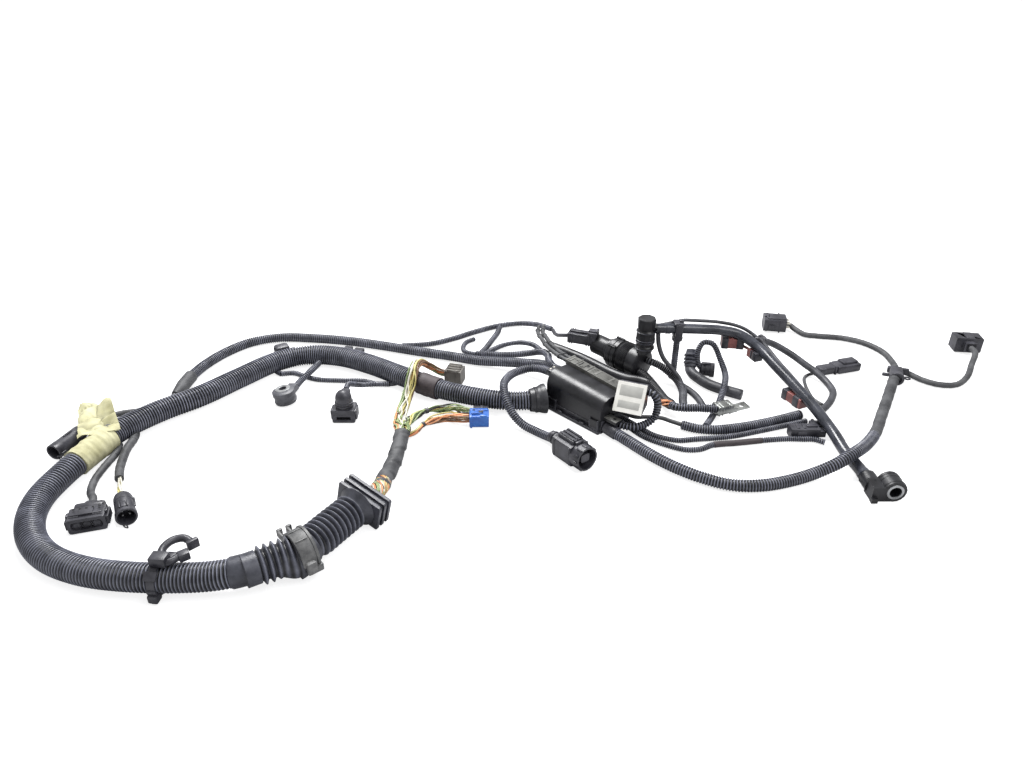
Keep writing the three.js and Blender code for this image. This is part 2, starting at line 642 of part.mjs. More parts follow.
// The lid as a profile across the box, pushed along it, with its skirt over the base's front.
function lidBlock(grow) {
  const seam = BOX_BASE_HEIGHT + FIT - grow;
  const front = BOX_LID_FRONT - grow;
  const far = BOX_WIDTH - 0.8 + grow;
  const groove = DUCT_FROM + DUCT_WIDTH + 0.6;
  const side = new THREE.Shape();
  side.moveTo(front, BOX_SKIRT - grow);
  side.lineTo(-FIT, BOX_SKIRT - grow);
  side.lineTo(-FIT, seam);
  side.lineTo(far, seam);
  side.lineTo(far, 40 + grow);
  side.lineTo(groove, DUCT_SEAT + grow);
  side.lineTo(DUCT_FROM - 0.6, DUCT_SEAT + grow);
  side.lineTo(DUCT_FROM - 1.4, 45.2 + grow);
  side.lineTo(24, 45.6 + grow);
  side.lineTo(15, BOX_LID_TOP + grow);
  side.quadraticCurveTo(front + 1.4, BOX_LID_TOP - 0.6 + grow, front, 31);
  const options = { depth: BOX_LENGTH - 1.6 + 2 * grow, bevelEnabled: false, curveSegments: 5 };
  return slope(across(new THREE.ExtrudeGeometry(side, options)).translate(0.8 - grow, 0, 0));
}

function boxLid() {
  const latches = [11, BOX_LENGTH - 9].map((x) => brick(9, 3, 9).translate(x, -2, 11.6));
  const bracket = brick(18, 11, 2.8).translate(BOX_LENGTH + 7, 10, BOX_BASE_HEIGHT + 2.3);
  const hole = rod(2.3, 12, 12).rotateX(Math.PI / 2).translate(BOX_LENGTH + 10, 10, 12);
  return inBox(cut(join(lidBlock(0), ...latches, bracket), hole));
}

// The box with the fit clearance round it, for cutting the pieces that lean on it.
function boxHole() {
  const size = [BOX_LENGTH + 2 * FIT, BOX_WIDTH + 2 * FIT, 30];
  const base = brick(...size).translate(BOX_LENGTH / 2, BOX_WIDTH / 2, 10);
  return inBox(join(base, lidBlock(FIT)));
}

function boxBoot() {
  const wide = plate(31, 27.4, 26, 10).translate(0, 0, 14.1);
  const cuff = plate(28.6, 26.4, 10, 10).translate(0, -8, 13.6);
  const boot = face(join(wide, cuff), [-44, 38, 0], [0.98, 0.17]);
  const before = inBox(brick(60, 40, 60).translate(30.4, -18, 30));
  return cut(boot, trunkHole, boxHole(), before);
}

const LABEL_CORNER = [41.6, -12.6, 30];
const LABEL_TURN = -0.394;
const LABEL_WIDTH = 32.5;
const LABEL_HEIGHT = 34;
const LABEL_LEAN = 0.62;

// Label frame: X along the lower edge, Y backwards, Z up, the origin at the lower left corner.
function atLabel(geometry) {
  return geometry.rotateZ(LABEL_TURN).translate(...LABEL_CORNER);
}

function labelPlate() {
  const sheet = brick(LABEL_WIDTH, 0.8, LABEL_HEIGHT);
  sheet.translate(LABEL_WIDTH / 2, -0.4, LABEL_HEIGHT / 2);
  return atLabel(sheet.rotateX(-LABEL_LEAN));
}

function labelHolder() {
  const rise = (LABEL_HEIGHT - 1) * Math.cos(LABEL_LEAN);
  const run = (LABEL_HEIGHT - 1) * Math.sin(LABEL_LEAN);
  const step = FIT / Math.cos(LABEL_LEAN);
  const side = new THREE.Shape();
  side.moveTo(step, 0);
  side.lineTo(3, -3);
  side.lineTo(31, -3);
  side.lineTo(31, rise - 4);
  side.lineTo(run + step + 3, rise);
  side.lineTo(run + step, rise);
  const options = { depth: LABEL_WIDTH - 1.5, bevelEnabled: false };
  const block = across(new THREE.ExtrudeGeometry(side, options)).translate(0.8, 0, 0);
  return cut(atLabel(block), boxHole(), inBox(ductBar(FIT)));
}

function ductBar(grow) {
  const size = [87 + 2 * grow, DUCT_WIDTH + 2 * grow, 6 + 2 * grow];
  const middle = DUCT_FROM + DUCT_WIDTH / 2;
  return slope(brick(...size).translate(40.5, middle, DUCT_SEAT + FIT + 3));
}

function ribbedDuct() {
  const bars = [ductBar(0)];
  const middle = DUCT_FROM + DUCT_WIDTH / 2;
  for (let x = 2; x <= 62; x += 20) {
    bars.push(slope(brick(3, DUCT_WIDTH - 3, 1).translate(x, middle, DUCT_SEAT + 6.6)));
  }
  const straps = [-3.4, 3.4].map((side) => {
    const route = STRAP.map(([x, y, z]) => [x + side * 0.9, y + side * 0.5, z]);
    return cable(route, STRAP_R, 6);
  });
  return join(inBox(join(...bars)), ...straps);
}

piece("box_boot", boxBoot(), DARK, 0.7);
piece("box_base", boxBase(), DARK, 0.45);
piece("box_lid", boxLid(), 0x3a3b42, 0.35);
piece("ribbed_duct", ribbedDuct(), 0x8d8e88, 0.5);
piece("label_holder", labelHolder(), DARK, 0.6);
piece("label_plate", labelPlate(), 0xf2f1ea, 0.7);

// Loop lead with the multi-pin connector, side loop and front conduit

function multiPinConnector() {
  const collar = rod(7.6, 9, 12);
  const body = plate(25, 24, 30, 4).translate(0, 8, 0);
  const shroud = rod(13.4, 14, 18).translate(0, 37, 0);
  const bore = rod(11.4, 16, 16).translate(0, 36, 0);
  const insert = plate(11, 9, 13, 2).translate(0, 35, 0);
  const lever = plate(14, 6, 24, 1).translate(0, 12, 13.4);
  const ridges = [-5, 0, 5].map((x) => brick(2.2, 22, 2).translate(x, 24, 16.8));
  const shell = cut(join(collar, body, shroud, lever, ...ridges), bore);
  const whole = join(shell, insert).rotateX(0.05);
  return cut(face(whole, [-20.5, -42, 12], [0.577, -0.816]), cable(LOOP, LOOP_R, 8, FIT));
}

piece("loop_lead", cable(LOOP, LOOP_R), BLACK, 0.5);
piece("multi_pin_connector", multiPinConnector(), 0x3d3d42, 0.5);
piece("side_loop", cable(SIDE, SIDE_R), BLACK, 0.5);
piece("front_conduit", cable(FRONT, FRONT_R, 10), BLACK, 0.5);

// Right end: the branch moulding with its two leads and the cam connectors

function camLeads() {
  const collar = face(plate(18, 15.6, 28, 4), [406.2, 94.6, 8.2], [0.35, 0.94]);
  const strap = face(brick(26, 6, 8), [416, 119, 8], [0.35, 0.94]);
  const left = cable(LEFT_CAM_LEAD, LEFT_CAM_R);
  const right = cable(RIGHT_CAM_LEAD, RIGHT_CAM_R);
  return cut(join(collar, strap, left, right), cable(FRONT, FRONT_R, 10, FIT));
}

function leftCam() {
  const body = plate(26, 19, 30, 4);
  const cap = plate(17, 22, 18, 3).translate(0, 5, 0);
  const rail = brick(30, 8, 6).translate(0, 20, -2);
  return face(join(body, cap, rail), [316.6, 251, 11.5], [-0.98, 0.18]);
}

function rightCam() {
  const body = plate(34, 21, 19, 2).translate(0, 7, 0);
  const neck = plate(13, 12, 8, 2);
  const rib = brick(10, 16, 2).translate(0, 16, 10.8);
  const socket = plate(26, 12, 10, 3).translate(0, 16.5, 0);
  return face(cut(join(body, neck, rib), socket), [537.8, 173.4, 12], [0.12, 0.99]);
}

piece("cam_leads", camLeads(), GREY, 0.8);
piece("left_cam_connector", leftCam(), 0x34343f, 0.5);
piece("right_cam_connector", rightCam(), 0x34343f, 0.5);

// Valve with its plug, outlet cap and hoses

const VALVE_BACK = [42, 171, 20];
const VALVE_END = [95, 111.6, 20];
const VALVE_R = 19.6;
const VALVE_NECK_R = 13;

function valveBody() {
  const drum = turned([
    [0, 0], [VALVE_NECK_R, 0], [VALVE_NECK_R, 24], [16, 26], [16, 30], [VALVE_R, 32],
    [VALVE_R, 45], [18.2, 46], [18.2, 49], [VALVE_R, 50], [VALVE_R, 61], [18.6, 62], [18.6, 64],
    [VALVE_R, 65], [VALVE_R, 78], [17, 79.5], [0, 79.5],
  ]);
  return aim(drum, VALVE_BACK, VALVE_END);
}

function valvePlug() {
  const body = face(plate(17, 14, 38, 2), [7, 181, 27], [0.93, -0.36]);
  const tip = face(brick(9, 10, 8).translate(0, 32, 9), [7, 181, 27], [0.93, -0.36]);
  const neck = aim(rod(VALVE_NECK_R + FIT, 27), VALVE_BACK, VALVE_END);
  return cut(join(body, tip, cable(PLUG_LEAD, PLUG_LEAD_R)), neck);
}

// The cap: a round body with a sealing groove and an eight-sided head.
function valveCap() {
  const body = turned([
    [0, 34], [9.4, 34], [9.4, 42], [11.4, 43.5], [11.4, 47], [10.2, 48], [10.2, 50], [11.4, 51],
    [11.4, 67], [9.8, 69], [9.8, 73], [0, 73],
  ], 14);
  const head = turned([[0, 71], [11.2, 71], [11.2, 83], [10.2, 84], [0, 84]], 8);
  const upright = join(body, head.rotateY(Math.PI / 8)).rotateX(Math.PI / 2);
  const drum = aim(rod(VALVE_R + FIT, 90, 20), VALVE_BACK, VALVE_END);
  return cut(upright.translate(94.6, 112, 0), drum);
}

function valveTubes() {
  return join(
    cable(OUTLET, OUTLET_R),
    cable(VACUUM, VACUUM_R),
    cable(OUTLET_BRANCH, OUTLET_BRANCH_R),
  );
}

piece("valve_body", valveBody(), DARK, 0.35);
piece("valve_plug", valvePlug(), 0x3a3946, 0.5);
piece("valve_cap", valveCap(), DARK, 0.5);
piece("valve_hose", cable(VALVE_HOSE, VALVE_HOSE_R), BLACK, 0.6);
piece("valve_tubes", valveTubes(), BLACK, 0.5);

// Rigid pipe with its riser and the quick connector

const pipeHole = cable(PIPE, PIPE_R, 10, FIT);

function riser() {
  const post = rod(4, 56, 8).rotateX(Math.PI / 2).translate(134, 114.6, 0.4);
  const foot = rod(5.4, 3, 10).rotateX(Math.PI / 2).translate(134, 114.6, 0.3);
  const saddle = brick(13, 15, 20).translate(134, 114.6, 66);
  return cut(join(post, foot, saddle), pipeHole);
}

function quickConnector() {
  const sleeve = face(rod(8.6, 16, 12), [288.6, -106, 8.9], [0, -1]);
  const elbow = brick(20, 17, 16).translate(292, -127, 9);
  const barrel = face(rod(11.6, 19, 18), [304, -116, 12], [0, -1]);
  const bore = face(rod(5.6, 13, 16), [304, -124, 12], [0, -1]);
  const tab = brick(6, 5, 5).translate(284, -137, 4);
  return cut(join(sleeve, elbow, barrel, tab), bore, pipeHole);
}

piece("rigid_pipe", cable(PIPE, PIPE_R, 10), DARK, 0.35);
piece("riser_conduit", riser(), BLACK, 0.5);
piece("quick_connector", quickConnector(), 0x34343f, 0.4);

// Hoses and plugs between the valve and the pipe

function ribbedPlug() {
  const plug = turned([
    [0, 0], [7.6, 0], [7.6, 3], ...ribs(3, 17, 3, 7.2, 9), [7.2, 17], [6.4, 22], [0, 22],
  ], 10);
  const hoses = [
    cable(LOOP_HOSE, LOOP_HOSE_R, 8, FIT),
    cable(THICK_HOSE, THICK_HOSE_R, 8, FIT),
  ];
  return cut(aim(plug, [155.95, 119.9, 12.7], [158.95, 134.9, 32.7]), ...hoses);
}

function loopHose() {
  const plug = turned([[0, 0], [6, 0], [8, 2], [8, 12], [9, 13], [9, 18], [0, 18]], 14);
  const route = cable(LOOP_HOSE, LOOP_HOSE_R);
  return join(route, aim(plug, [168, 120.4, 9.4], [186, 117, 9.4]));
}

function cableTerminal() {
  const barrel = plate(15, 11.4, 20, 3);
  const tongue = brick(12, 26, 2.4).translate(0, 31, -3.8);
  const web = plate(13, 6, 8, 1).translate(0, 18, -3);
  const eye = rod(3.2, 20, 16).rotateX(Math.PI / 2).translate(0, 36, -14);
  const whole = cut(join(barrel, tongue, web), eye);
  return cut(face(whole, [163.2, 15.4, 14], [0.92, 0.36]), cable(TERMINAL_LEAD, TERMINAL_R, 8, FIT));
}

piece("ribbed_plug", ribbedPlug(), DARK, 0.6);
piece("loop_hose", loopHose(), BLACK, 0.5);
piece("thick_hose", cable(THICK_HOSE, THICK_HOSE_R), GREY, 0.6);
piece("terminal_conduit", cable(TERMINAL_LEAD, TERMINAL_R), BLACK, 0.5);
piece("cable_terminal", cableTerminal(), 0xb4b6b4, 0.35, 0.9);

// Long cables from the box to the right, the relays and the clip connector

function relayOne() {
  const body = face(plate(13, 13, 26, 1), [192, 126, 45.4], [1, -0.12]);
  const wires = cable(RELAY_WIRES, RELAY_WIRES_R, 6);
  const clip = face(brick(10, 13, 10), [227, 104, 39.6], [0.35, -0.94]);
  const saddle = face(brick(8, 8, 12), [207, 123, 53], [1, -0.12]);
  return cut(join(body, wires, clip, saddle), pipeHole);
}

function relayTwo() {
  const body = face(plate(13, 12, 30, 1), [252.5, 46, 19.4], [0.4, -0.92]);
  return cut(body, pipeHole);
}

function greyHose() {
  const head = aim(rod(6.4, 28, 12), [231, 109, 52], [246, 134, 44]);
  return cut(join(head, cable(GREY_HOSE, GREY_HOSE_R)), pipeHole);
}

function clipConnector() {
  const neck = plate(13, 10, 26, 2);
  const head = plate(19, 13, 34, 3).translate(0, 24, 0.6);
  const slot = plate(10, 8, 12, 2).translate(0, 48, 0.6);
  const body = face(cut(join(neck, head), slot), [318.4, 120.6, 6.6], [0.955, 0.296]);
  return join(body, cable(CLIP_LEAD, CLIP_LEAD_R, 6));
}

piece("bundle_conduit", join(cable(BUNDLE, BUNDLE_R), cable(LIGHT_CABLE, LIGHT_R, 6)), BLACK, 0.5);
piece("second_conduit", cable(SECOND, SLIM_R), BLACK, 0.5);
piece("floor_cable", cable(FLOOR_CABLE, SLIM_R), BLACK, 0.5);
piece("black_housing", face(plate(14, 13, 32, 1.5), [238, -19, 6.8], [1, 0]), DARK, 0.5);
piece("relay_one", relayOne(), 0x6e3c36, 0.6);
piece("relay_two", relayTwo(), 0x6e3c36, 0.6);
piece("grey_hose", greyHose(), GREY, 0.7);
piece("clip_connector", clipConnector(), 0x3a3946, 0.5);

export default group;
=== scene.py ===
"""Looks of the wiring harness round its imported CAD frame. Metres, +Z up, the floor at z = 0."""

import math

import bmesh
import bpy
import numpy as np
from mathutils import Matrix, Vector, noise


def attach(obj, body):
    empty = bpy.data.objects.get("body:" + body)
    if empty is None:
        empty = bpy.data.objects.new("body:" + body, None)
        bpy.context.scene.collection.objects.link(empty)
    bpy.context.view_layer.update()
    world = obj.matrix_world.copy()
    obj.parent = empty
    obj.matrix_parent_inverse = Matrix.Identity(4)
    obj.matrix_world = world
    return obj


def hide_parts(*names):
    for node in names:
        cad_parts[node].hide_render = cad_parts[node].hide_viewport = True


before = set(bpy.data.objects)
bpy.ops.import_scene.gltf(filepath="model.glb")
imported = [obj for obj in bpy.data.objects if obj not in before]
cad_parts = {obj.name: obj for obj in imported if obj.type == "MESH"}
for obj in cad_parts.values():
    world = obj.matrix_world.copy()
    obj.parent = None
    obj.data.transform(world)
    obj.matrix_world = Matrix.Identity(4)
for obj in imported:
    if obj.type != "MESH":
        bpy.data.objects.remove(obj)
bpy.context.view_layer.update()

MM = 0.001

# Routes of the cords: the same points as the CAD cables

TRUNK = [
    (-0.03, 0.041, 0.013), (-0.044, 0.038, 0.013), (-0.062, 0.036, 0.013), (-0.084, 0.038, 0.013),
    (-0.118, 0.048, 0.013), (-0.154, 0.063, 0.013), (-0.206, 0.097, 0.013),
    (-0.248, 0.126, 0.013), (-0.29, 0.147, 0.013), (-0.332, 0.151, 0.013), (-0.366, 0.135, 0.013),
    (-0.402, 0.091, 0.013), (-0.435, 0.047, 0.013), (-0.47, 0.012, 0.0132),
    (-0.496, -0.029, 0.0146), (-0.508, -0.072, 0.015), (-0.518, -0.112, 0.0138),
    (-0.521, -0.145, 0.013), (-0.514, -0.175, 0.013), (-0.497, -0.204, 0.013),
    (-0.47, -0.228, 0.013), (-0.432, -0.245, 0.014), (-0.39, -0.254, 0.016),
    (-0.345, -0.256, 0.0166), (-0.318, -0.255, 0.0176), (-0.302, -0.253, 0.0192),
    (-0.288, -0.249, 0.0204),
]
UPPER = [
    (-0.469, 0.084, 0.0085), (-0.467, 0.108, 0.0075), (-0.461, 0.138, 0.0066),
    (-0.446, 0.171, 0.0066), (-0.422, 0.2, 0.0066), (-0.387, 0.215, 0.0066),
    (-0.34, 0.213, 0.0066), (-0.288, 0.204, 0.0066), (-0.24, 0.19, 0.0066),
    (-0.19, 0.173, 0.0066), (-0.15, 0.161, 0.0066), (-0.112, 0.147, 0.007), (-0.084, 0.138, 0.01),
    (-0.052, 0.125, 0.015), (-0.028, 0.11, 0.02), (-0.0063, 0.0847, 0.022),
    (0.0029, 0.0749, 0.022),
]
FRONT = [
    (0.0362, -0.0116, 0.0076), (0.042, -0.0186, 0.007), (0.059, -0.04, 0.0066),
    (0.077, -0.063, 0.0066), (0.097, -0.084, 0.0066), (0.122, -0.103, 0.0066),
    (0.15, -0.116, 0.0066), (0.18, -0.117, 0.0066), (0.214, -0.108, 0.0066),
    (0.24, -0.099, 0.009), (0.262, -0.093, 0.016), (0.284, -0.08, 0.0202), (0.308, -0.054, 0.013),
    (0.333, -0.021, 0.007), (0.354, 0.014, 0.0066), (0.374, 0.047, 0.0066), (0.39, 0.074, 0.0066),
    (0.405, 0.099, 0.0075),
]
PIPE = [
    (0.1063, 0.112, 0.07), (0.134, 0.1144, 0.0685), (0.161, 0.118, 0.066), (0.188, 0.123, 0.062),
    (0.211, 0.122, 0.057), (0.229, 0.106, 0.05), (0.245, 0.07, 0.04), (0.261, 0.031, 0.03),
    (0.272, 0.002, 0.022), (0.281, -0.026, 0.013), (0.285, -0.057, 0.007),
    (0.288, -0.087, 0.0068), (0.289, -0.114, 0.008),
]
LOOP = [
    (-0.0171, 0.0551, 0.037), (-0.024, 0.0624, 0.037), (-0.036, 0.074, 0.035),
    (-0.05, 0.077, 0.033), (-0.066, 0.069, 0.0316), (-0.076, 0.052, 0.0316),
    (-0.078, 0.036, 0.0316), (-0.075, 0.018, 0.026), (-0.068, 0.004, 0.016),
    (-0.057, -0.006, 0.008), (-0.042, -0.017, 0.0054), (-0.028, -0.031, 0.007),
    (-0.019, -0.044, 0.011),
]
SIDE = [
    (0.081, -0.0029, 0.047), (0.086, -0.005, 0.046), (0.091, -0.007, 0.039),
    (0.092, -0.0076, 0.029), (0.089, -0.009, 0.018), (0.079, -0.014, 0.013),
    (0.066, -0.019, 0.0122), (0.053, -0.0146, 0.012), (0.0436, -0.0035, 0.012),
]
TAIL = [
    (-0.541, -0.02, 0.009), (-0.533, 0.005, 0.007), (-0.519, 0.022, 0.0045), (-0.5, 0.029, 0.004),
    (-0.486, 0.038, 0.0045), (-0.475, 0.044, 0.0066), (-0.471, 0.05, 0.008),
    (-0.4703, 0.0573, 0.0082),
]
SIX_LEAD = [
    (-0.4893, -0.0626, 0.0044), (-0.4905, -0.082, 0.0044), (-0.49, -0.105, 0.0044),
    (-0.484, -0.126, 0.005), (-0.474, -0.14, 0.008), (-0.4689, -0.1539, 0.009),
]
ROUND_LEAD = [
    (-0.4814, -0.0352, 0.005), (-0.481, -0.05, 0.005), (-0.4775, -0.068, 0.005),
    (-0.4715, -0.089, 0.006), (-0.463, -0.108, 0.008),
]
KNOCK_LEAD = [
    (-0.3124, 0.137, 0.0124), (-0.316, 0.122, 0.0122), (-0.321, 0.106, 0.0115),
    (-0.3284, 0.092, 0.008), (-0.3318, 0.0789, 0.007),
]
ELBOW_LEAD = [
    (-0.2183, 0.0899, 0.0044), (-0.236, 0.092, 0.0036), (-0.25, 0.082, 0.008),
    (-0.258, 0.066, 0.018), (-0.26, 0.05, 0.027), (-0.26, 0.036, 0.029),
]
SHORT_LEAD = [
    (-0.36, 0.118, 0.0034), (-0.344, 0.12, 0.0034), (-0.329, 0.112, 0.0034),
    (-0.312, 0.104, 0.0034), (-0.28, 0.101, 0.0034), (-0.255, 0.1, 0.0034),
    (-0.236, 0.092, 0.0036),
]
SHEATH = [
    (-0.2027, -0.1522, 0.0206), (-0.1986, -0.1456, 0.0204), (-0.196, -0.132, 0.017),
    (-0.195, -0.114, 0.013), (-0.192, -0.09, 0.0094), (-0.19, -0.07, 0.0094),
    (-0.188, -0.05, 0.0128), (-0.1876, -0.035, 0.0134),
]
WIRES_A = [
    (-0.191, -0.0344, 0.016), (-0.191, -0.0285, 0.016), (-0.195, -0.01, 0.01),
    (-0.196, 0.02, 0.006), (-0.193, 0.048, 0.009), (-0.19, 0.061, 0.0176), (-0.188, 0.07, 0.0266),
    (-0.186, 0.08, 0.032), (-0.184, 0.092, 0.0324), (-0.181, 0.102, 0.029), (-0.174, 0.112, 0.02),
    (-0.165, 0.113, 0.013), (-0.157, 0.109, 0.011), (-0.1506, 0.107, 0.0106),
]
WIRES_B = [
    (-0.1826, -0.0344, 0.016), (-0.1826, -0.0285, 0.016), (-0.186, -0.014, 0.0116),
    (-0.182, 0.01, 0.0056), (-0.168, 0.027, 0.005), (-0.151, 0.03, 0.006),
    (-0.134, 0.028, 0.0074), (-0.122, 0.0222, 0.007), (-0.112, 0.0213, 0.0068),
]
WIRES_C = [
    (-0.1874, -0.0344, 0.0082), (-0.187, -0.0295, 0.008), (-0.177, -0.015, 0.0048),
    (-0.167, 0.001, 0.0044), (-0.158, 0.009, 0.0044), (-0.145, 0.012, 0.006),
    (-0.132, 0.008, 0.008), (-0.124, 0.0062, 0.008), (-0.117, 0.0061, 0.008),
]
REAR = [
    (-0.217, 0.1956, 0.0042), (-0.179, 0.201, 0.0042), (-0.149, 0.217, 0.0042),
    (-0.119, 0.239, 0.0042), (-0.087, 0.258, 0.0042), (-0.058, 0.264, 0.005),
    (-0.034, 0.252, 0.009), (-0.014, 0.227, 0.014),
]
VALVE_HOSE = [
    (0.0886, 0.1052, 0.013), (0.093, 0.1, 0.0126), (0.102, 0.08, 0.009), (0.107, 0.062, 0.008),
    (0.111, 0.044, 0.009), (0.115, 0.028, 0.013),
]
TERMINAL_LEAD = [
    (0.1152, 0.0266, 0.0134), (0.119, 0.019, 0.015), (0.128, 0.0156, 0.0158),
    (0.145, 0.0154, 0.0158), (0.164, 0.0158, 0.0144),
]
LOOP_HOSE = [
    (0.172, 0.12, 0.009), (0.1655, 0.121, 0.017), (0.1635, 0.121, 0.034), (0.169, 0.121, 0.046),
    (0.18, 0.119, 0.045), (0.189, 0.108, 0.029), (0.192, 0.092, 0.0195), (0.187, 0.07, 0.0184),
    (0.178, 0.048, 0.011), (0.166, 0.025, 0.0042), (0.15, -0.0035, 0.0042),
]
THICK_HOSE = [
    (0.1559, 0.1197, 0.0124), (0.1558, 0.1165, 0.0098), (0.158, 0.11, 0.008),
    (0.163, 0.101, 0.007), (0.172, 0.086, 0.0068), (0.188, 0.072, 0.0068), (0.206, 0.06, 0.0068),
]
BUNDLE = [
    (0.122, -0.0045, 0.0058), (0.137, -0.012, 0.0058), (0.158, -0.015, 0.0058),
    (0.186, -0.01, 0.0058), (0.224, 0.002, 0.0058), (0.262, 0.017, 0.0058),
]
LIGHT_CABLE = [
    (0.0569, 0.0088, 0.014), (0.07, 0, 0.0136), (0.084, 0.003, 0.0116), (0.1, 0.005, 0.009),
    (0.112, 0.0015, 0.0064), (0.124, -0.0055, 0.0058),
]
SECOND = [
    (0.06, 0.0114, 0.0036), (0.072, -0.003, 0.0035), (0.088, -0.022, 0.0035),
    (0.112, -0.032, 0.0035), (0.132, -0.03, 0.0035), (0.17, -0.025, 0.0035),
    (0.211, -0.012, 0.0035), (0.24, -0.002, 0.0035), (0.266, 0.007, 0.0035),
]
FLOOR_CABLE = [
    (0.054, 0.006, 0.0036), (0.064, -0.007, 0.0035), (0.077, -0.025, 0.0035),
    (0.097, -0.04, 0.0035), (0.118, -0.05, 0.0035), (0.134, -0.049, 0.0035),
    (0.149, -0.041, 0.0035), (0.176, -0.037, 0.0035), (0.206, -0.032, 0.0035),
    (0.233, -0.029, 0.0035), (0.25, -0.0297, 0.0035), (0.262, -0.03, 0.0035),
    (0.272, -0.036, 0.0035),
]
GREY_HOSE = [
    (0.245, 0.132, 0.044), (0.266, 0.14, 0.033), (0.287, 0.134, 0.022), (0.302, 0.122, 0.014),
    (0.312, 0.109, 0.01), (0.32, 0.092, 0.0054), (0.32, 0.072, 0.0044), (0.311, 0.053, 0.0044),
    (0.299, 0.037, 0.0044), (0.286, 0.024, 0.0044),
]
CLIP_LEAD = [
    (0.32, 0.121, 0.005), (0.314, 0.122, 0.0023), (0.306, 0.118, 0.0022), (0.298, 0.109, 0.0022),
    (0.294, 0.094, 0.0022), (0.292, 0.077, 0.0022), (0.292, 0.058, 0.0022),
    (0.2979, 0.0439, 0.0026),
]
LEFT_CAM_LEAD = [
    (0.3173, 0.2509, 0.0086), (0.323, 0.2498, 0.0084), (0.33, 0.241, 0.0056),
    (0.338, 0.229, 0.0046), (0.354, 0.225, 0.0042), (0.387, 0.218, 0.0042), (0.41, 0.203, 0.0042),
    (0.424, 0.177, 0.0042), (0.424, 0.148, 0.005), (0.418, 0.124, 0.008),
]
RIGHT_CAM_LEAD = [
    (0.418, 0.122, 0.008), (0.43, 0.116, 0.0054), (0.441, 0.102, 0.0042), (0.456, 0.09, 0.0042),
    (0.477, 0.089, 0.0042), (0.5, 0.107, 0.0048), (0.519, 0.134, 0.008), (0.536, 0.16, 0.012),
    (0.5377, 0.1729, 0.012),
]
ROUND_WIRES = [
    (-0.4626, -0.1086, 0.0081), (-0.455, -0.124, 0.0098), (-0.4436, -0.143, 0.0104),
]
BRANCH = [
    (-0.116, 0.171, 0.0046), (-0.1, 0.17, 0.0046), (-0.082, 0.165, 0.006), (-0.055, 0.156, 0.012),
    (-0.032, 0.143, 0.022), (-0.024, 0.114, 0.032), (-0.0235, 0.092, 0.036),
    (-0.0187, 0.0756, 0.037), (-0.0139, 0.0705, 0.037), (-0.0077, 0.064, 0.037),
]
BRANCH_HOOK = [
    (-0.106, 0.17, 0.0046), (-0.122, 0.173, 0.004), (-0.132, 0.181, 0.0034),
    (-0.134, 0.194, 0.0034), (-0.13, 0.208, 0.0034), (-0.12, 0.217, 0.0034),
]
BRANCH_RISER = [
    (-0.11, 0.172, 0.0046), (-0.103, 0.19, 0.004), (-0.096, 0.212, 0.004), (-0.088, 0.238, 0.004),
    (-0.086, 0.2516, 0.0042),
]
BRANCH_ARCH = [
    (-0.104, 0.171, 0.0046), (-0.092, 0.186, 0.0042), (-0.08, 0.197, 0.0042),
    (-0.06, 0.197, 0.008), (-0.042, 0.176, 0.016), (-0.032, 0.15, 0.021),
]
STRAP = [
    (0.0033, 0.0717, 0.0464), (-0.0043, 0.0798, 0.0464), (-0.019, 0.114, 0.042),
    (-0.027, 0.164, 0.031), (-0.03, 0.205, 0.02), (-0.028, 0.229, 0.018),
]
OUTLET = [
    (0.1006, 0.1159, 0.0244), (0.1046, 0.1116, 0.0242), (0.114, 0.109, 0.021),
    (0.126, 0.103, 0.014), (0.135, 0.091, 0.009), (0.138, 0.072, 0.0054), (0.134, 0.05, 0.0054),
    (0.132, 0.036, 0.0054),
]
VACUUM = [
    (0.1096, 0.112, 0.0634), (0.111, 0.109, 0.05), (0.117, 0.104, 0.034), (0.128, 0.097, 0.022),
    (0.137, 0.088, 0.012), (0.138, 0.08, 0.007),
]
OUTLET_BRANCH = [
    (0.137, 0.084, 0.007), (0.146, 0.076, 0.0044), (0.152, 0.062, 0.0042), (0.155, 0.044, 0.0042),
    (0.155, 0.034, 0.0042),
]

# Camera


def make_camera():
    data = bpy.data.cameras.new("camera")
    data.sensor_fit = "HORIZONTAL"
    data.sensor_width = 36.0
    data.lens = 27.03
    data.clip_start = 0.01
    data.clip_end = 100.0
    camera = bpy.data.objects.new("camera", data)
    camera.location = (-0.069, -0.731, 0.473)
    camera.rotation_euler = (math.radians(60.3), 0.0, 0.0)
    bpy.context.scene.collection.objects.link(camera)
    bpy.context.scene.camera = camera


make_camera()

# Materials


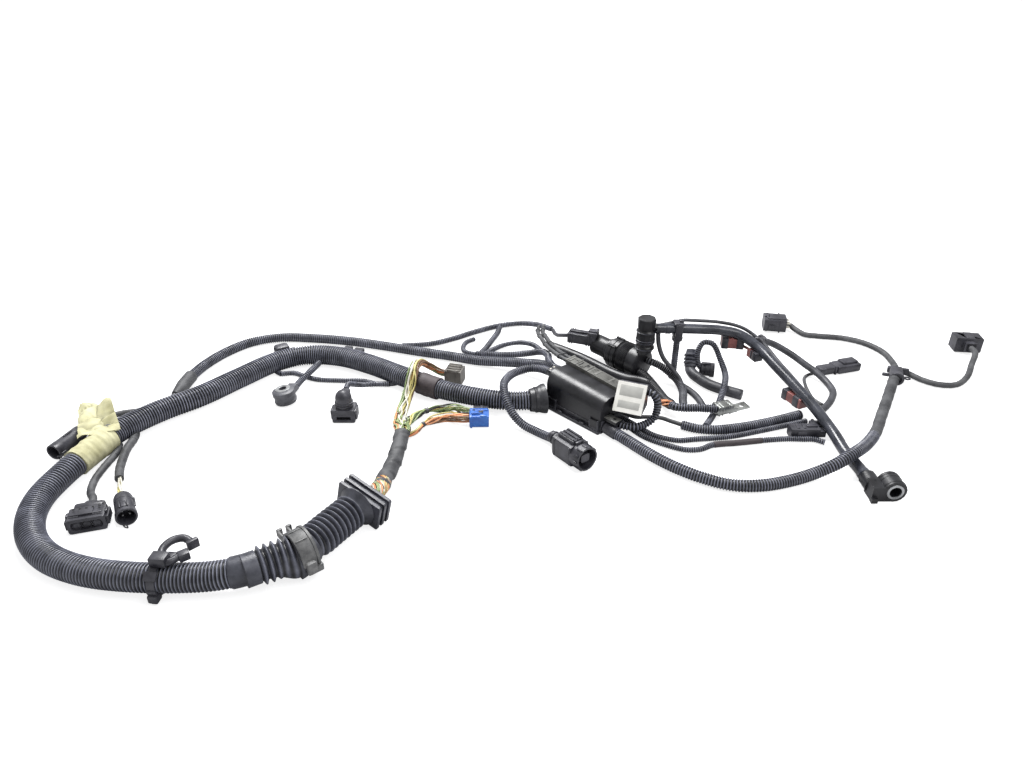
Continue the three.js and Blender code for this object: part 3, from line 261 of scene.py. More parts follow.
def finish(name, dark, light, rough, grain=900, bump=0.05, patch=60, metallic=0.0):
    """A moulded or extruded surface: patchy colour, uneven gloss and a fine grain."""
    material = bpy.data.materials.new(name)
    material.use_nodes = True
    tree = material.node_tree
    shader = tree.nodes["Principled BSDF"]
    shader.inputs["Metallic"].default_value = metallic

    def node(kind, **values):
        """A shader node with the values of its inputs, an underscore for a space."""
        made = tree.nodes.new("ShaderNode" + kind)
        for entry, value in values.items():
            made.inputs[entry.replace("_", " ")].default_value = value
        return made

    def link(source, output, target, entry):
        tree.links.new(source.outputs[output], target.inputs[entry])

    spot = node("TexCoord")
    patches = node("TexNoise", Scale=patch, Detail=5.0, Roughness=0.62)
    link(spot, "Object", patches, "Vector")
    colours = node("ValToRGB")
    for stop, position, colour in zip(colours.color_ramp.elements, (0.36, 0.68), (dark, light)):
        stop.position = position
        stop.color = (*colour, 1.0)
    link(patches, "Fac", colours, "Fac")
    painted_light = node("Attribute")
    painted_light.attribute_name = "painted_light"
    # Painted light: the colour is scaled by one and the painted light, so 0 leaves it as it is, above 0
    # paints a highlight and below 0 paints shade
    level = node("Math")
    level.inputs[1].default_value = 1.0
    link(painted_light, "Fac", level, 0)
    colour_with_painted_light = node("VectorMath")
    colour_with_painted_light.operation = "SCALE"
    link(colours, "Color", colour_with_painted_light, 0)
    link(level, "Value", colour_with_painted_light, "Scale")
    link(colour_with_painted_light, "Vector", shader, "Base Color")
    gloss = node("MapRange", From_Min=0.3, From_Max=0.7, To_Min=rough[0], To_Max=rough[1])
    link(patches, "Fac", gloss, "Value")
    link(gloss, "Result", shader, "Roughness")
    grains = node("TexNoise", Scale=grain, Detail=3.0)
    link(spot, "Object", grains, "Vector")
    relief = node("Bump", Strength=1.0, Distance=bump * MM)
    link(grains, "Fac", relief, "Height")
    link(relief, "Normal", shader, "Normal")
    return material


LOOKS = {
    "conduit_black": finish("ribbed_conduit", (0.034, 0.036, 0.047), (0.098, 0.102, 0.128), (0.26, 0.42)),
    "conduit_taped": finish(
        "taped_lead", (0.035, 0.036, 0.04), (0.1, 0.102, 0.108), (0.5, 0.68), 1400, 0.14
    ),
    "rubber_black": finish(
        "moulded_rubber", (0.03, 0.032, 0.042), (0.085, 0.088, 0.11), (0.28, 0.46), 1200
    ),
    "plastic_black": finish(
        "moulded_black", (0.024, 0.024, 0.031), (0.072, 0.072, 0.086), (0.3, 0.46), 1500
    ),
    "plastic_gloss": finish(
        "moulded_satin", (0.006, 0.0062, 0.008), (0.022, 0.0225, 0.027), (0.28, 0.42), 1100
    ),
    "plastic_grey": finish("moulded_grey", (0.09, 0.09, 0.084), (0.2, 0.2, 0.188), (0.36, 0.55), 1300),
    "plastic_brown": finish("moulded_brown", (0.075, 0.068, 0.06), (0.16, 0.148, 0.13), (0.4, 0.58), 1300),
    "plastic_blue": finish("moulded_blue", (0.015, 0.09, 0.38), (0.045, 0.19, 0.6), (0.26, 0.42), 1300),
    "relay_red": finish("moulded_red", (0.16, 0.05, 0.045), (0.4, 0.15, 0.14), (0.36, 0.52), 1300),
    "sensor_grey": finish(
        "cast_sensor", (0.05, 0.052, 0.062), (0.13, 0.132, 0.15), (0.34, 0.52), 1600, 0.1
    ),
    "terminal_metal": finish(
        "tinned_lug", (0.32, 0.33, 0.32), (0.6, 0.62, 0.6), (0.22, 0.42), 1600, 0.06, metallic=1.0
    ),
    "label_white": finish("label_stock", (0.74, 0.73, 0.68), (0.88, 0.87, 0.83), (0.5, 0.7), 1800, 0.03),
    "tape_paper": finish("creased_tape", (0.44, 0.42, 0.24), (0.64, 0.62, 0.41), (0.7, 0.9), 900, 0.16, 45),
    "wires_yellow": finish("wire_yellow", (0.42, 0.36, 0.12), (0.72, 0.66, 0.3), (0.3, 0.45), 800),
    "wires_green": finish("wire_green", (0.15, 0.21, 0.08), (0.4, 0.48, 0.24), (0.3, 0.45), 800),
    "wires_orange": finish("wire_orange", (0.6, 0.2, 0.07), (0.86, 0.42, 0.22), (0.3, 0.45), 800),
    "hose_grey": finish("hose_rubber", (0.03, 0.031, 0.037), (0.085, 0.087, 0.1), (0.36, 0.54), 1000),
    "pipe_black": finish("extruded_pipe", (0.022, 0.024, 0.031), (0.066, 0.07, 0.088), (0.14, 0.26), 900),
    # Looks that belong to no slot of their own
    "white": finish("wire_white", (0.58, 0.56, 0.48), (0.82, 0.8, 0.72), (0.3, 0.45), 800),
    "brown": finish("wire_brown", (0.1, 0.055, 0.03), (0.22, 0.13, 0.08), (0.3, 0.45), 800),
    "dark": finish("wire_dark", (0.02, 0.02, 0.022), (0.06, 0.06, 0.066), (0.3, 0.45), 800),
    "copper": finish("copper_strand", (0.5, 0.2, 0.12), (0.8, 0.4, 0.28), (0.25, 0.4), 1200, metallic=0.6),
    # Near-black for holes and slots: painted shade inside them
    "painted_hole_shade": finish("painted_shade_inside", (0.004, 0.004, 0.005), (0.01, 0.01, 0.012), (0.5, 0.7), 1200),
    "patch": finish("cloth_tape", (0.03, 0.022, 0.026), (0.075, 0.062, 0.066), (0.5, 0.7), 1500, 0.16),
    "dull": finish("dull_rubber", (0.014, 0.0145, 0.018), (0.045, 0.046, 0.054), (0.34, 0.5), 1200),
    "worn": finish("worn_band", (0.06, 0.062, 0.066), (0.2, 0.2, 0.2), (0.34, 0.56), 1300, 0.08, 90),
    "tint": finish("label_tint", (0.4, 0.4, 0.38), (0.52, 0.52, 0.49), (0.5, 0.7), 1800, 0.03),
    "bright": finish(
        "turned_face", (0.36, 0.37, 0.38), (0.6, 0.61, 0.62), (0.25, 0.4), 1800, 0.05, metallic=0.8
    ),
}

# Lines and swept shapes


def spline(points, each=40):
    """The smooth line that the CAD cables follow."""
    knots = np.array(points, float)
    knots = np.vstack([2 * knots[0] - knots[1], knots, 2 * knots[-1] - knots[-2]])
    line = []
    for a, b, c, d in zip(knots, knots[1:], knots[2:], knots[3:]):
        ab, bc, cd = (math.sqrt(np.linalg.norm(v)) for v in (b - a, c - b, d - c))
        leave = ((b - a) / ab - (c - a) / (ab + bc) + (c - b) / bc) * bc
        arrive = ((c - b) / bc - (d - b) / (bc + cd) + (d - c) / cd) * bc
        for t in np.arange(each) / each:
            bend = (3 * (c - b) - 2 * leave - arrive) * t**2
            line.append(b + leave * t + bend + (2 * (b - c) + leave + arrive) * t**3)
    line.append(knots[-2])
    return np.array(line)


def unit(vectors):
    """The vectors with a length of one."""
    return vectors / np.linalg.norm(vectors, axis=-1, keepdims=True)


class Path:
    """A line with even steps and a frame that does not twist along it."""

    def __init__(self, points, step=0.0008):
        line = spline(points)
        along = np.concatenate([[0], np.cumsum(np.linalg.norm(np.diff(line, axis=0), axis=1))])
        self.length = along[-1]
        self.s = np.linspace(0, self.length, max(8, int(self.length / step)))
        self.line = np.stack([np.interp(self.s, along, line[:, k]) for k in range(3)], 1)
        self.ahead = unit(np.gradient(self.line, axis=0))
        side = np.cross(self.ahead[0], (0.0, 0.0, 1.0))
        if np.linalg.norm(side) < 0.1:
            side = np.cross(self.ahead[0], (0.0, 1.0, 0.0))
        sides = [unit(side)]
        for ahead in self.ahead[1:]:
            side = sides[-1] - ahead * np.dot(sides[-1], ahead)
            sides.append(unit(side))
        self.side = np.array(sides)
        self.up = np.cross(self.side, self.ahead)

    def near(self, point):
        """The length along the line at its closest place to a point in millimetres."""
        gaps = np.linalg.norm(self.line - np.array(point) * MM, axis=1)
        return self.s[int(np.argmin(gaps))]

    def pick(self, values, s):
        """The values that belong to lengths along the line."""
        return np.stack([np.interp(s, self.s, values[:, k]) for k in range(3)], -1)

    def rings(self, s, radii, sides, shift=(0.0, 0.0)):
        """Rings of points round the line: radii has one value a ring, or one a point."""
        s = np.asarray(s, float)
        middle = self.pick(self.line, s)
        side = unit(self.pick(self.side, s))
        up = unit(self.pick(self.up, s))
        middle = middle + side * np.reshape(shift[0], (-1, 1)) + up * np.reshape(shift[1], (-1, 1))
        turn = np.arange(sides) * 2 * math.pi / sides
        radii = np.asarray(radii, float)
        if radii.ndim == 1:
            radii = radii[:, None]
        across = side[:, None, :] * np.cos(turn)[None, :, None]
        above = up[:, None, :] * np.sin(turn)[None, :, None]
        return middle[:, None, :] + (across + above) * radii[:, :, None]

    def even(self, radius, count, sides):
        """Rings of one radius in millimetres along the whole line."""
        return self.rings(np.linspace(0, self.length, count), np.full(count, radius * MM), sides)

    def tie(self, share, half, edge, low, high, sides, lean=0.0):
        """A tie at a share of the length: its half width, its edges, their radius and its own."""
        spots = np.array([-half, edge - half, half - edge, half]) * MM + share * self.length
        return self.rings(spots, np.array([low, high, high, low]) * MM, sides, (lean * MM, 0.0))


# The lowest height of a piece, just above the floor
REST = 0.0001


class Shape:
    """Collects parts of one piece, each with the number of its material."""

    def __init__(self):
        self.verts = []
        self.faces = []
        self.marks = []
        self.painted_lights = []

    def add(self, verts, faces, mark=0, painted_lights=None):
        """Adds points in metres and the faces between them."""
        base = len(self.verts)
        self.verts.extend(tuple(v) for v in verts)
        # The painted light of each point, 0 where none is painted
        self.painted_lights.extend([0.0] * len(verts) if painted_lights is None else painted_lights)
        self.faces.extend(tuple(base + i for i in face) for face in faces)
        self.marks.extend([mark] * len(faces))
        return self

    def tube(self, rings, mark=0, closed=False, painted_lights=None):
        """Skins rings of points: with caps, or with its last ring joined to its first.

        The painted light has one value a ring: above 0 is a painted highlight paler than the finish, below
        0 painted shade darker than it.
        """
        count, sides, _ = rings.shape
        row = np.arange(sides)
        near = np.stack([row, (row + 1) % sides], 1)
        faces = []
        for k in range(count if closed else count - 1):
            a = near + k * sides
            b = near + (k + 1) % count * sides
            faces.extend(np.concatenate([a, b[:, ::-1]], 1).tolist())
        if not closed:
            faces.append(row[::-1].tolist())
            faces.append((row + (count - 1) * sides).tolist())
        if painted_lights is not None:
            painted_lights = np.repeat(painted_lights, sides).tolist()
        return self.add(rings.reshape(-1, 3).tolist(), faces, mark, painted_lights)

    def bricks(self, matrix, bricks, mark=0):
        """Blocks with rounded edges in one frame, each as its size, its centre and its bevel."""
        for size, centre, bevel in bricks:
            solid = bmesh.new()
            bmesh.ops.create_cube(solid, size=1.0)
            for v in solid.verts:
                v.co = Vector([v.co[k] * size[k] * MM for k in range(3)])
            bmesh.ops.bevel(
                solid, geom=solid.edges[:], offset=bevel * MM, segments=2,
                affect="EDGES", profile=0.5, clamp_overlap=True,
            )
            bmesh.ops.translate(solid, vec=Vector(centre) * MM, verts=solid.verts)
            bmesh.ops.transform(solid, matrix=matrix, verts=solid.verts)
            solid.verts.index_update()
            faces = [[v.index for v in face.verts] for face in solid.faces]
            self.add([v.co[:] for v in solid.verts], faces, mark)
            solid.free()
        return self

    def hoop(self, centre, normal, radius, wire):
        """A closed loop of round wire, in millimetres."""
        sides = 28
        frame_of = Vector((0, 1, 0)).rotation_difference(Vector(normal)).to_matrix()
        rings = []
        for k in range(sides):
            turn = 2 * math.pi * k / sides
            out = frame_of @ Vector((math.cos(turn), 0, math.sin(turn)))
            up = frame_of @ Vector((0, 1, 0))
            middle = Vector(centre) + out * radius
            rings.append([
                (middle + (out * math.cos(a) + up * math.sin(a)) * wire) * MM
                for a in np.arange(8) * math.pi / 4
            ])
        return self.tube(np.array(rings), closed=True)

    def band(self, matrix, inner, outer, start, end, edge=0.0, mark=0, sides=40):
        """A ring round local Y between two heights, with its outer edges taken off."""
        profile = [(inner, start), (outer, start + edge), (outer, end - edge), (inner, end)]
        return self.tube(spun(profile, matrix, sides), mark, closed=True)

    def build(self, name, *looks, slot=None, replaces=(), sharp=35):
        """Makes the piece, flat where it would sink into the surface that it lies on.

        The slot is not used.
        """
        data = bpy.data.meshes.new(name)
        verts = [(x, y, max(z, REST)) for x, y, z in self.verts]
        data.from_pydata(verts, [], self.faces)
        data.polygons.foreach_set("material_index", self.marks)
        for look in looks:
            data.materials.append(LOOKS[look])
        data.polygons.foreach_set("use_smooth", [True] * len(self.faces))
        if sharp:
            data.set_sharp_from_angle(angle=math.radians(sharp))
        # The painted light of each point: painted highlights on crests, painted shade in grooves and
        # creases
        painted_light = data.attributes.new("painted_light", "FLOAT", "POINT")
        painted_light.data.foreach_set("value", self.painted_lights)
        data.update()
        return settle(name, data, replaces)


def settle(name, data, replaces=()):
    """The piece made of a mesh: it rides on the body and stands for its nodes."""
    piece = bpy.data.objects.new(name, data)
    bpy.context.scene.collection.objects.link(piece)
    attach(piece, "root")
    if replaces:
        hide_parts(*replaces)
    return piece


def pair(size, centre, bevel):
    """A block and its mirror image across local X."""
    x, y, z = centre
    return (size, (-x, y, z), bevel), (size, centre, bevel)


def facing(at, toward):
    """Local Y turned to a direction in the floor plane, the origin at a point in millimetres."""
    return Matrix.Translation(Vector(at) * MM) @ Matrix.Rotation(math.atan2(-toward[0], toward[1]), 4, "Z")


# Local Y turned upright
UPRIGHT = Matrix.Rotation(math.pi / 2, 4, "X")


def aimed(start, end):
    """Local Y turned onto the line between two points in millimetres."""
    way = (Vector(end) - Vector(start)).normalized()
    turn = Vector((0, 1, 0)).rotation_difference(way)
    return Matrix.Translation(Vector(start) * MM) @ turn.to_matrix().to_4x4()


def spun(profile, matrix, sides=40):
    """A body of revolution round local Y from (radius, height) pairs in millimetres."""
    radius, height = np.array(profile, float).T[:, :, None] * MM
    turn = np.arange(sides) * 2 * math.pi / sides
    rings = np.stack([radius * np.cos(turn), height + 0 * turn, -radius * np.sin(turn)], -1)
    return rings @ np.array(matrix.to_3x3()).T + np.array(matrix.translation)


def soften(node, look, width):
    """A CAD node with its edges rounded, as a piece that stands for the node."""
    solid = bmesh.new()
    solid.from_mesh(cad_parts[node].data)
    bmesh.ops.remove_doubles(solid, verts=solid.verts, dist=3e-6)
    bmesh.ops.dissolve_limit(solid, angle_limit=math.radians(1.5), verts=solid.verts, edges=solid.edges)
    data = bpy.data.meshes.new("moulded_" + node)
    solid.to_mesh(data)
    solid.free()
    data.materials.clear()
    data.materials.append(LOOKS[look])
    data.polygons.foreach_set("material_index", [0] * len(data.polygons))
    data.polygons.foreach_set("use_smooth", [True] * len(data.polygons))
    piece = settle("moulded_" + node, data, [node])
    edges = piece.modifiers.new("edges", "BEVEL")
    edges.width = width * MM
    edges.segments = 2
    edges.limit_method = "ANGLE"
    edges.angle_limit = math.radians(32)
    edges.use_clamp_overlap = True
    normals = piece.modifiers.new("normals", "WEIGHTED_NORMAL")
    normals.keep_sharp = False


# Cords

# One ring of a conduit: the place along its pitch, the share of its depth, and its painted light: painted
# shade in the groove, a painted highlight on the crest
RINGS = ((0.04, 1.0, -0.97), (0.38, 1.0, -0.97), (0.48, 0.2, -0.1), (0.68, 0.0, 2.1), (0.9, 0.3, -0.1))


def corrugated(
    name, points, radius, nodes, pitch=2.7, depth=0.9, sides=16, first=0.0, look="conduit_black",
    plain=1.0, taper=None,
):
    """A corrugated conduit with real rings, smooth beyond a share of its length."""
    path = Path(points)
    count = int(path.length / (pitch * MM))
    steps = []
    sinks = []
    painted_lights = []
    for k in range(int(count * first), int(count * plain)):
        for part, sink, painted_light in RINGS:
            steps.append((k + part) / count * path.length)
            sinks.append(depth * sink)
            painted_lights.append(painted_light)
    steps[0] = first * path.length
    if plain >= 1.0:
        steps[-1] = path.length
    steps = np.array(steps)
    radii = np.full(len(steps), radius)
    if taper:
        radii = np.interp(steps / path.length, taper[0], taper[1])
    shape = Shape().tube(path.rings(steps, (radii - sinks) * MM, sides), painted_lights=painted_lights)
    looks = [look]
    if plain < 1.0:
        rest = np.linspace(steps[-1], path.length, 90)
        tape_pitch = 22 * MM
        wrap = radius - 0.1 - 0.5 * (rest / tape_pitch % 1.0)
        shape.tube(path.rings(rest, wrap * MM, sides), 1)
        looks.append("conduit_taped")
    piece = shape.build(name, *looks, replaces=nodes, sharp=0)
    declare(path, radius, first)


def smooth_tube(name, points, radius, nodes, look, sides=16, wrap=0.0, pitch=9.0, first=0.0):
    """A hose, or a lead wound in tape when wrap is the height of the tape's edge."""
    path = Path(points)
    count = max(6, int(path.length / (1.6 * MM if wrap else 3 * MM)))
    steps = np.linspace(first * path.length, path.length, count)
    turn = np.arange(sides) / sides
    radii = np.full((len(steps), sides), radius * MM)
    if wrap:
        phase = (steps[:, None] / (pitch * MM) + turn[None, :]) % 1.0
        radii = radii - wrap * MM * phase
        radii -= lumps(steps, sides, wrap * 0.9, 3)
    shape = Shape().tube(path.rings(steps, radii, sides))
    piece = shape.build(name, look, replaces=nodes, sharp=60 if wrap else 0)
    declare(path, radius, first)


def lumps(steps, sides, height, seed, scale=90):
    """Uneven sinks of a wound or crumpled skin, one for each point of each ring."""
    sinks = np.zeros((len(steps), sides))
    for i, s in enumerate(steps):
        for j in range(sides):
            turn = j / sides * 2 * math.pi
            spot = (s * scale + seed, math.cos(turn) * 1.2, math.sin(turn) * 1.2)
            sinks[i, j] = height * MM * (0.5 + 0.5 * noise.noise(spot))
    return sinks


def strands(
    name, points, radius, wire, looks, nodes, count, twist, seed=0,
    tie=None, fan=((0, 1), (1, 1)), flat=1.0, slot=None,
):
    """Separate wires that run together, with a tie round them at a share of the length."""
    path = Path(points, 0.0015)
    steps = np.linspace(0, path.length, max(10, int(path.length / (3 * MM))))
    shape = Shape()
    share = steps / path.length
    pinch = np.interp(share, *fan)
    if tie is not None:
        pinch *= 1 - 0.5 * np.exp(-(((share - tie) / 0.08) ** 2))
    for k in range(count):
        reach = (radius - wire) * (0.4 if k % 3 == 0 else 1.0) * pinch
        wander = [noise.noise((k * 3.7 + seed, s * 45, 0.5)) for s in steps]
        turn = k * 2.4 + twist * share * 3 + np.array(wander) * 1.1
        lift = np.interp(share, (0, 0.35), (1.0, flat))
        shift = (reach * np.cos(turn) * MM, reach * np.sin(turn) * lift * MM)
        shape.tube(path.rings(steps, np.full(len(steps), wire * MM), 8, shift), k % len(looks))
    if tie is not None:
        wide = radius * np.interp(tie, *fan)
        shape.tube(path.tie(tie, 2.2, 0.2, 0.55 * wide, 0.72 * wide, 20), len(looks))
    piece = shape.build(name, *looks, "dark", slot=slot, replaces=nodes, sharp=50)
    declare(path, radius * (1 + max(fan[1])) / 2)


# The shortest length of a cord that gets points along it, and the spacing of those points
SHORTEST = 0.03
SPACING = 0.004


def declare(path, radius, first=0.0):
    """Picks points along a cord and does nothing with them. A stub under six diameters long gets none."""
    length = path.length * (1 - first)
    if length < max(SHORTEST, 12 * radius * MM):
        return
    spots = np.linspace(path.length - length, path.length, max(6, int(length / SPACING)))
    points = path.pick(path.line, spots)


YELLOWS = ("wires_yellow", "wires_green", "brown", "white", "wires_orange")
GREENS = ("wires_green", "dark", "wires_yellow", "wires_green")
ORANGES = ("wires_orange", "white", "brown", "wires_yellow", "wires_orange")

corrugated(
    "trunk_ribs", TRUNK, 12.75, ["trunk_conduit"], pitch=3.1, depth=1.7, sides=28,
    taper=((0, 0.1, 0.14, 0.17, 1), (11.6, 11.3, 11.6, 12.75, 12.75)),
)
corrugated("upper_ribs", UPPER, 6.4, ["upper_conduit"], depth=1.0)
corrugated("front_ribs", FRONT, 6.5, ["front_conduit"], pitch=2.9, depth=1.1, plain=0.71, sides=18)
# Name, route, radius, nodes, pitch, depth, sides, and for some the share where it starts and a look
for row in (
    ("loop_ribs", LOOP, 5.0, ["loop_lead"], 2.6),
    ("side_ribs", SIDE, 4.6, ["side_loop"], 3.3, 1.3),
    ("rear_ribs", REAR, 3.9, ["rear_cable"], 2.4, 0.7, 14),
    ("bundle_ribs", BUNDLE, 5.6, ["bundle_conduit"], 2.6),
    ("second_ribs", SECOND, 3.3, ["second_conduit"], 2.3, 0.6, 12),
    ("floor_ribs", FLOOR_CABLE, 3.3, ["floor_cable"], 2.3, 0.6, 12),
    ("terminal_ribs", TERMINAL_LEAD, 5.0, ["terminal_conduit"], 2.7, 1.0),
    ("knock_ribs", KNOCK_LEAD, 4.0, ["knock_lead"], 2.4, 0.8, 14, 0.09),
    ("elbow_ribs", ELBOW_LEAD, 3.3, ["elbow_lead"], 2.3, 0.6, 12),
    ("short_ribs", SHORT_LEAD, 3.3, [], 2.3, 0.6, 12),
    ("branch_ribs", BRANCH, 4.4, ["branch_conduits"], 2.6, 0.9, 14),
    ("hook_ribs", BRANCH_HOOK, 3.2, [], 2.3, 0.6, 12),
    ("branch_riser_ribs", BRANCH_RISER, 3.8, [], 2.4, 0.7, 12),
    ("arch_ribs", BRANCH_ARCH, 3.5, [], 2.4, 0.7, 12),
    ("loop_hose_ribs", LOOP_HOSE, 3.9, [], 2.5, 0.8, 14),
    ("valve_hose_ribs", VALVE_HOSE, 6.3, ["valve_hose"], 2.9, 1.0, 20, 0.0, "plastic_gloss"),
    ("outlet_ribs", OUTLET, 5.0, ["valve_tubes"], 2.7, 0.9, 18, 0.0, "hose_grey"),
):
    corrugated(*row)
# Name, route, radius, nodes, look, sides, and for some the tape's height, its pitch and the start
for row in (
    ("light_lead", LIGHT_CABLE, 2.4, [], "conduit_taped", 12),
    ("sheath", SHEATH, 9.4, ["taped_sheath"], "conduit_taped", 26, 1.4, 24, 0.09),
    ("six_pin_sleeve", SIX_LEAD, 4.0, ["six_pin_lead"], "conduit_taped", 16, 0.25),
    ("round_sleeve", ROUND_LEAD, 4.7, ["round_lead"], "conduit_taped", 16, 0.3, 10),
    ("thick_hose_skin", THICK_HOSE, 6.5, ["thick_hose"], "hose_grey", 20),
    ("grey_hose_skin", GREY_HOSE, 4.2, [], "hose_grey"),
    ("vacuum_skin", VACUUM, 2.8, [], "hose_grey", 12),
    ("outlet_branch_skin", OUTLET_BRANCH, 4.0, [], "hose_grey"),
    ("left_cam_sleeve", LEFT_CAM_LEAD, 4.0, ["cam_leads"], "conduit_taped", 16, 0.25),
    ("right_cam_sleeve", RIGHT_CAM_LEAD, 3.8, [], "conduit_taped", 16, 0.25),
    ("clip_lead_skin", CLIP_LEAD, 2.0, [], "conduit_taped", 10),
    ("tail_sleeve", TAIL, 3.6, [], "conduit_taped", 14, 0.2),
):
    smooth_tube(*row)
strands(
    "yellow_wires", WIRES_A, 4.8, 1.0, YELLOWS, ["bundle_a"], 18, 1.0,
    fan=((0, 0.16, 0.55, 0.8, 1), (1.0, 1.5, 1.6, 1.6, 1.3)), flat=0.6,
)
strands(
    "green_wires", WIRES_B, 4.4, 0.95, GREENS, [], 13, 2.5, 5, tie=0.55,
    fan=((0, 0.3, 0.55, 0.8, 1), (0.9, 1.15, 1.1, 1.5, 1.1)),
)
strands(
    "orange_wires", WIRES_C, 4.4, 0.95, ORANGES, ["bundle_c"], 13, 0.8, 9, tie=0.4,
    fan=((0, 0.2, 0.4, 0.7, 1), (0.9, 1.1, 1.0, 1.6, 1.25)),
)

# Rigid pieces: the CAD nodes with rounded edges, each with the bevel that fits its size

for node, look, width in (
    ("grommet_flange", "rubber_black", 0.7),
    ("grey_connector", "plastic_brown", 0.4),
    ("blue_connector", "plastic_blue", 0.5),
    ("tail_boot", "conduit_taped", 0.4),
    ("six_pin_connector", "plastic_black", 0.6),
    ("knock_sensor", "sensor_grey", 0.5),
    ("elbow_connector", "plastic_black", 0.6),
    ("box_base", "plastic_black", 0.6),
    ("box_lid", "plastic_gloss", 1.1),
    ("ribbed_duct", "plastic_grey", 0.4),
    ("label_holder", "plastic_black", 0.6),
    ("label_plate", "label_white", 0.15),
    ("multi_pin_connector", "plastic_black", 0.6),
    ("left_cam_connector", "plastic_black", 0.9),
    ("right_cam_connector", "plastic_black", 0.9),
    ("valve_plug", "plastic_black", 0.6),
    ("valve_cap", "plastic_gloss", 0.5),
    ("quick_connector", "plastic_gloss", 0.8),
    ("ribbed_plug", "rubber_black", 0.5),
    ("cable_terminal", "terminal_metal", 0.4),
    ("black_housing", "plastic_black", 0.5),
    ("relay_one", "relay_red", 0.6),
    ("relay_two", "relay_red", 0.6),
):
    soften(node, look, width)


def jacket(name, points, start, end, radius, look, slot=None, height=0.0, seed=0, sides=36, scale=90):
    """A sleeve, or a wrap of tape, round a cord between the places nearest to two points."""
    path = Path(points)
    first, last = sorted((path.near(start), path.near(end)))
    steps = np.linspace(first, last, max(12, int((last - first) / (0.7 * MM))))
    radii = np.full((len(steps), sides), radius * MM)
    if height:
        radii -= lumps(steps, sides, height, seed, scale)
    radii[0] -= 0.5 * MM
    radii[-1] -= 0.5 * MM
    shape = Shape().tube(path.rings(steps, radii, sides))
    shape.build(name, look, slot=slot, sharp=50)


jacket("trunk_sleeve", TRUNK, (-302, -255, 17.6), (-280, -250, 20.2), 13.7, "rubber_black")
jacket(
    "trunk_patch", TRUNK, (-181, 76, 13), (-155, 64, 13), 13.9, "patch", "conduit_taped",
    height=0.9, seed=4, scale=160,
)
jacket("front_cuff", FRONT, (36, -11, 7.6), (47, -25, 6.8), 7.2, "plastic_black")
jacket(
    "floor_wrap", FLOOR_CABLE, (150, -41, 4), (205, -32, 4), 3.55, "patch", "conduit_taped",
    height=0.3, seed=6, scale=150, sides=20,
)


def strap(name, offset, phase):
    """One of the two straps that run side by side from the duct to the rear cable."""
    path = Path(STRAP)
    steps = np.linspace(0.02, 0.98, 120) * path.length
    radii = 2.5 + 0.25 * np.sin(steps / MM * 0.9 + phase)
    shape = Shape().tube(path.rings(steps, radii * MM, 14, (offset * MM, 0.0)))
    for share in (0.12, 0.42, 0.7, 0.9):
        shape.tube(path.tie(share, 1.6, 0.3, 2.6, 3.3, 14, offset))
    shape.build(name, "conduit_taped", sharp=50)


strap("strap_one", 3.3, 0)
strap("strap_two", -3.3, 1)


def boot():
    """The rubber boot that flares from the trunk conduit to the box."""
    path = Path(TRUNK)
    steps = np.array([0, 3, 6, 9, 10, 12.4, 13, 18, 18.6]) * MM
    radii = np.array([17.8, 17.6, 16.4, 15, 15.2, 15.2, 14.2, 13.4, 12.6]) * MM
    shape = Shape().tube(path.rings(steps, radii, 44))
    shape.build("boot", "dull", slot="rubber_black", replaces=["box_boot"], sharp=40)


boot()

# Grommet

GROMMET = [
    (-0.292, -0.253, 0.0206), (-0.2705, -0.24, 0.0206), (-0.2525, -0.2292, 0.0206),
    (-0.2455, -0.2214, 0.0206), (-0.2305, -0.197, 0.0206), (-0.2124, -0.1676, 0.0206),
]


def bellows():
    path = Path(GROMMET, 0.0004)
    s = path.s / MM
    end = s[-1]
    root, crest, elbow, seat, lip = 13.1, 17.1, 14.6, 15.4, 7
    ribs = np.zeros(len(s))
    base = np.full(len(s), elbow)
    for start, stop, count in ((12, 42, 5), (58, end - lip, 10)):
        inside = (s > start) & (s < stop)
        phase = (s[inside] - start) / (stop - start) * count
        ribs[inside] = (0.5 - 0.5 * np.cos(2 * math.pi * phase)) ** 1.4
        base[inside] = root
    base[(s >= 42) & (s <= 58)] = seat
    last = s >= end - lip
    base[last] = root + lip * ((s[last] - end + lip) / lip) ** 1.6
    # Painted light on the ribs: a painted highlight on each crest, painted shade in each groove
    painted_lights = np.where(base == root, 2.1 * ribs - 0.85, 0.0)
    sides = 56
    turn = np.arange(sides) * 2 * math.pi / sides
    outer = np.maximum(0, np.cos(turn + 0.6))[None, :]
    fade = 1 - np.minimum(1, 1.2 * outer) * np.interp(s, (20, 32, 58, 68), (0, 1, 1, 0))[:, None]
    bulge = 8.0 * np.exp(-(((s - 41) / 12) ** 2))[:, None] * outer ** 1.5
    radii = base[:, None] + (crest - root) * ribs[:, None] * fade + bulge
    rings = path.rings(path.s, radii * MM, sides)
    shape = Shape().tube(rings, painted_lights=painted_lights)
    shape.build("bellows", "rubber_black", replaces=["grommet_bellows"], sharp=0)


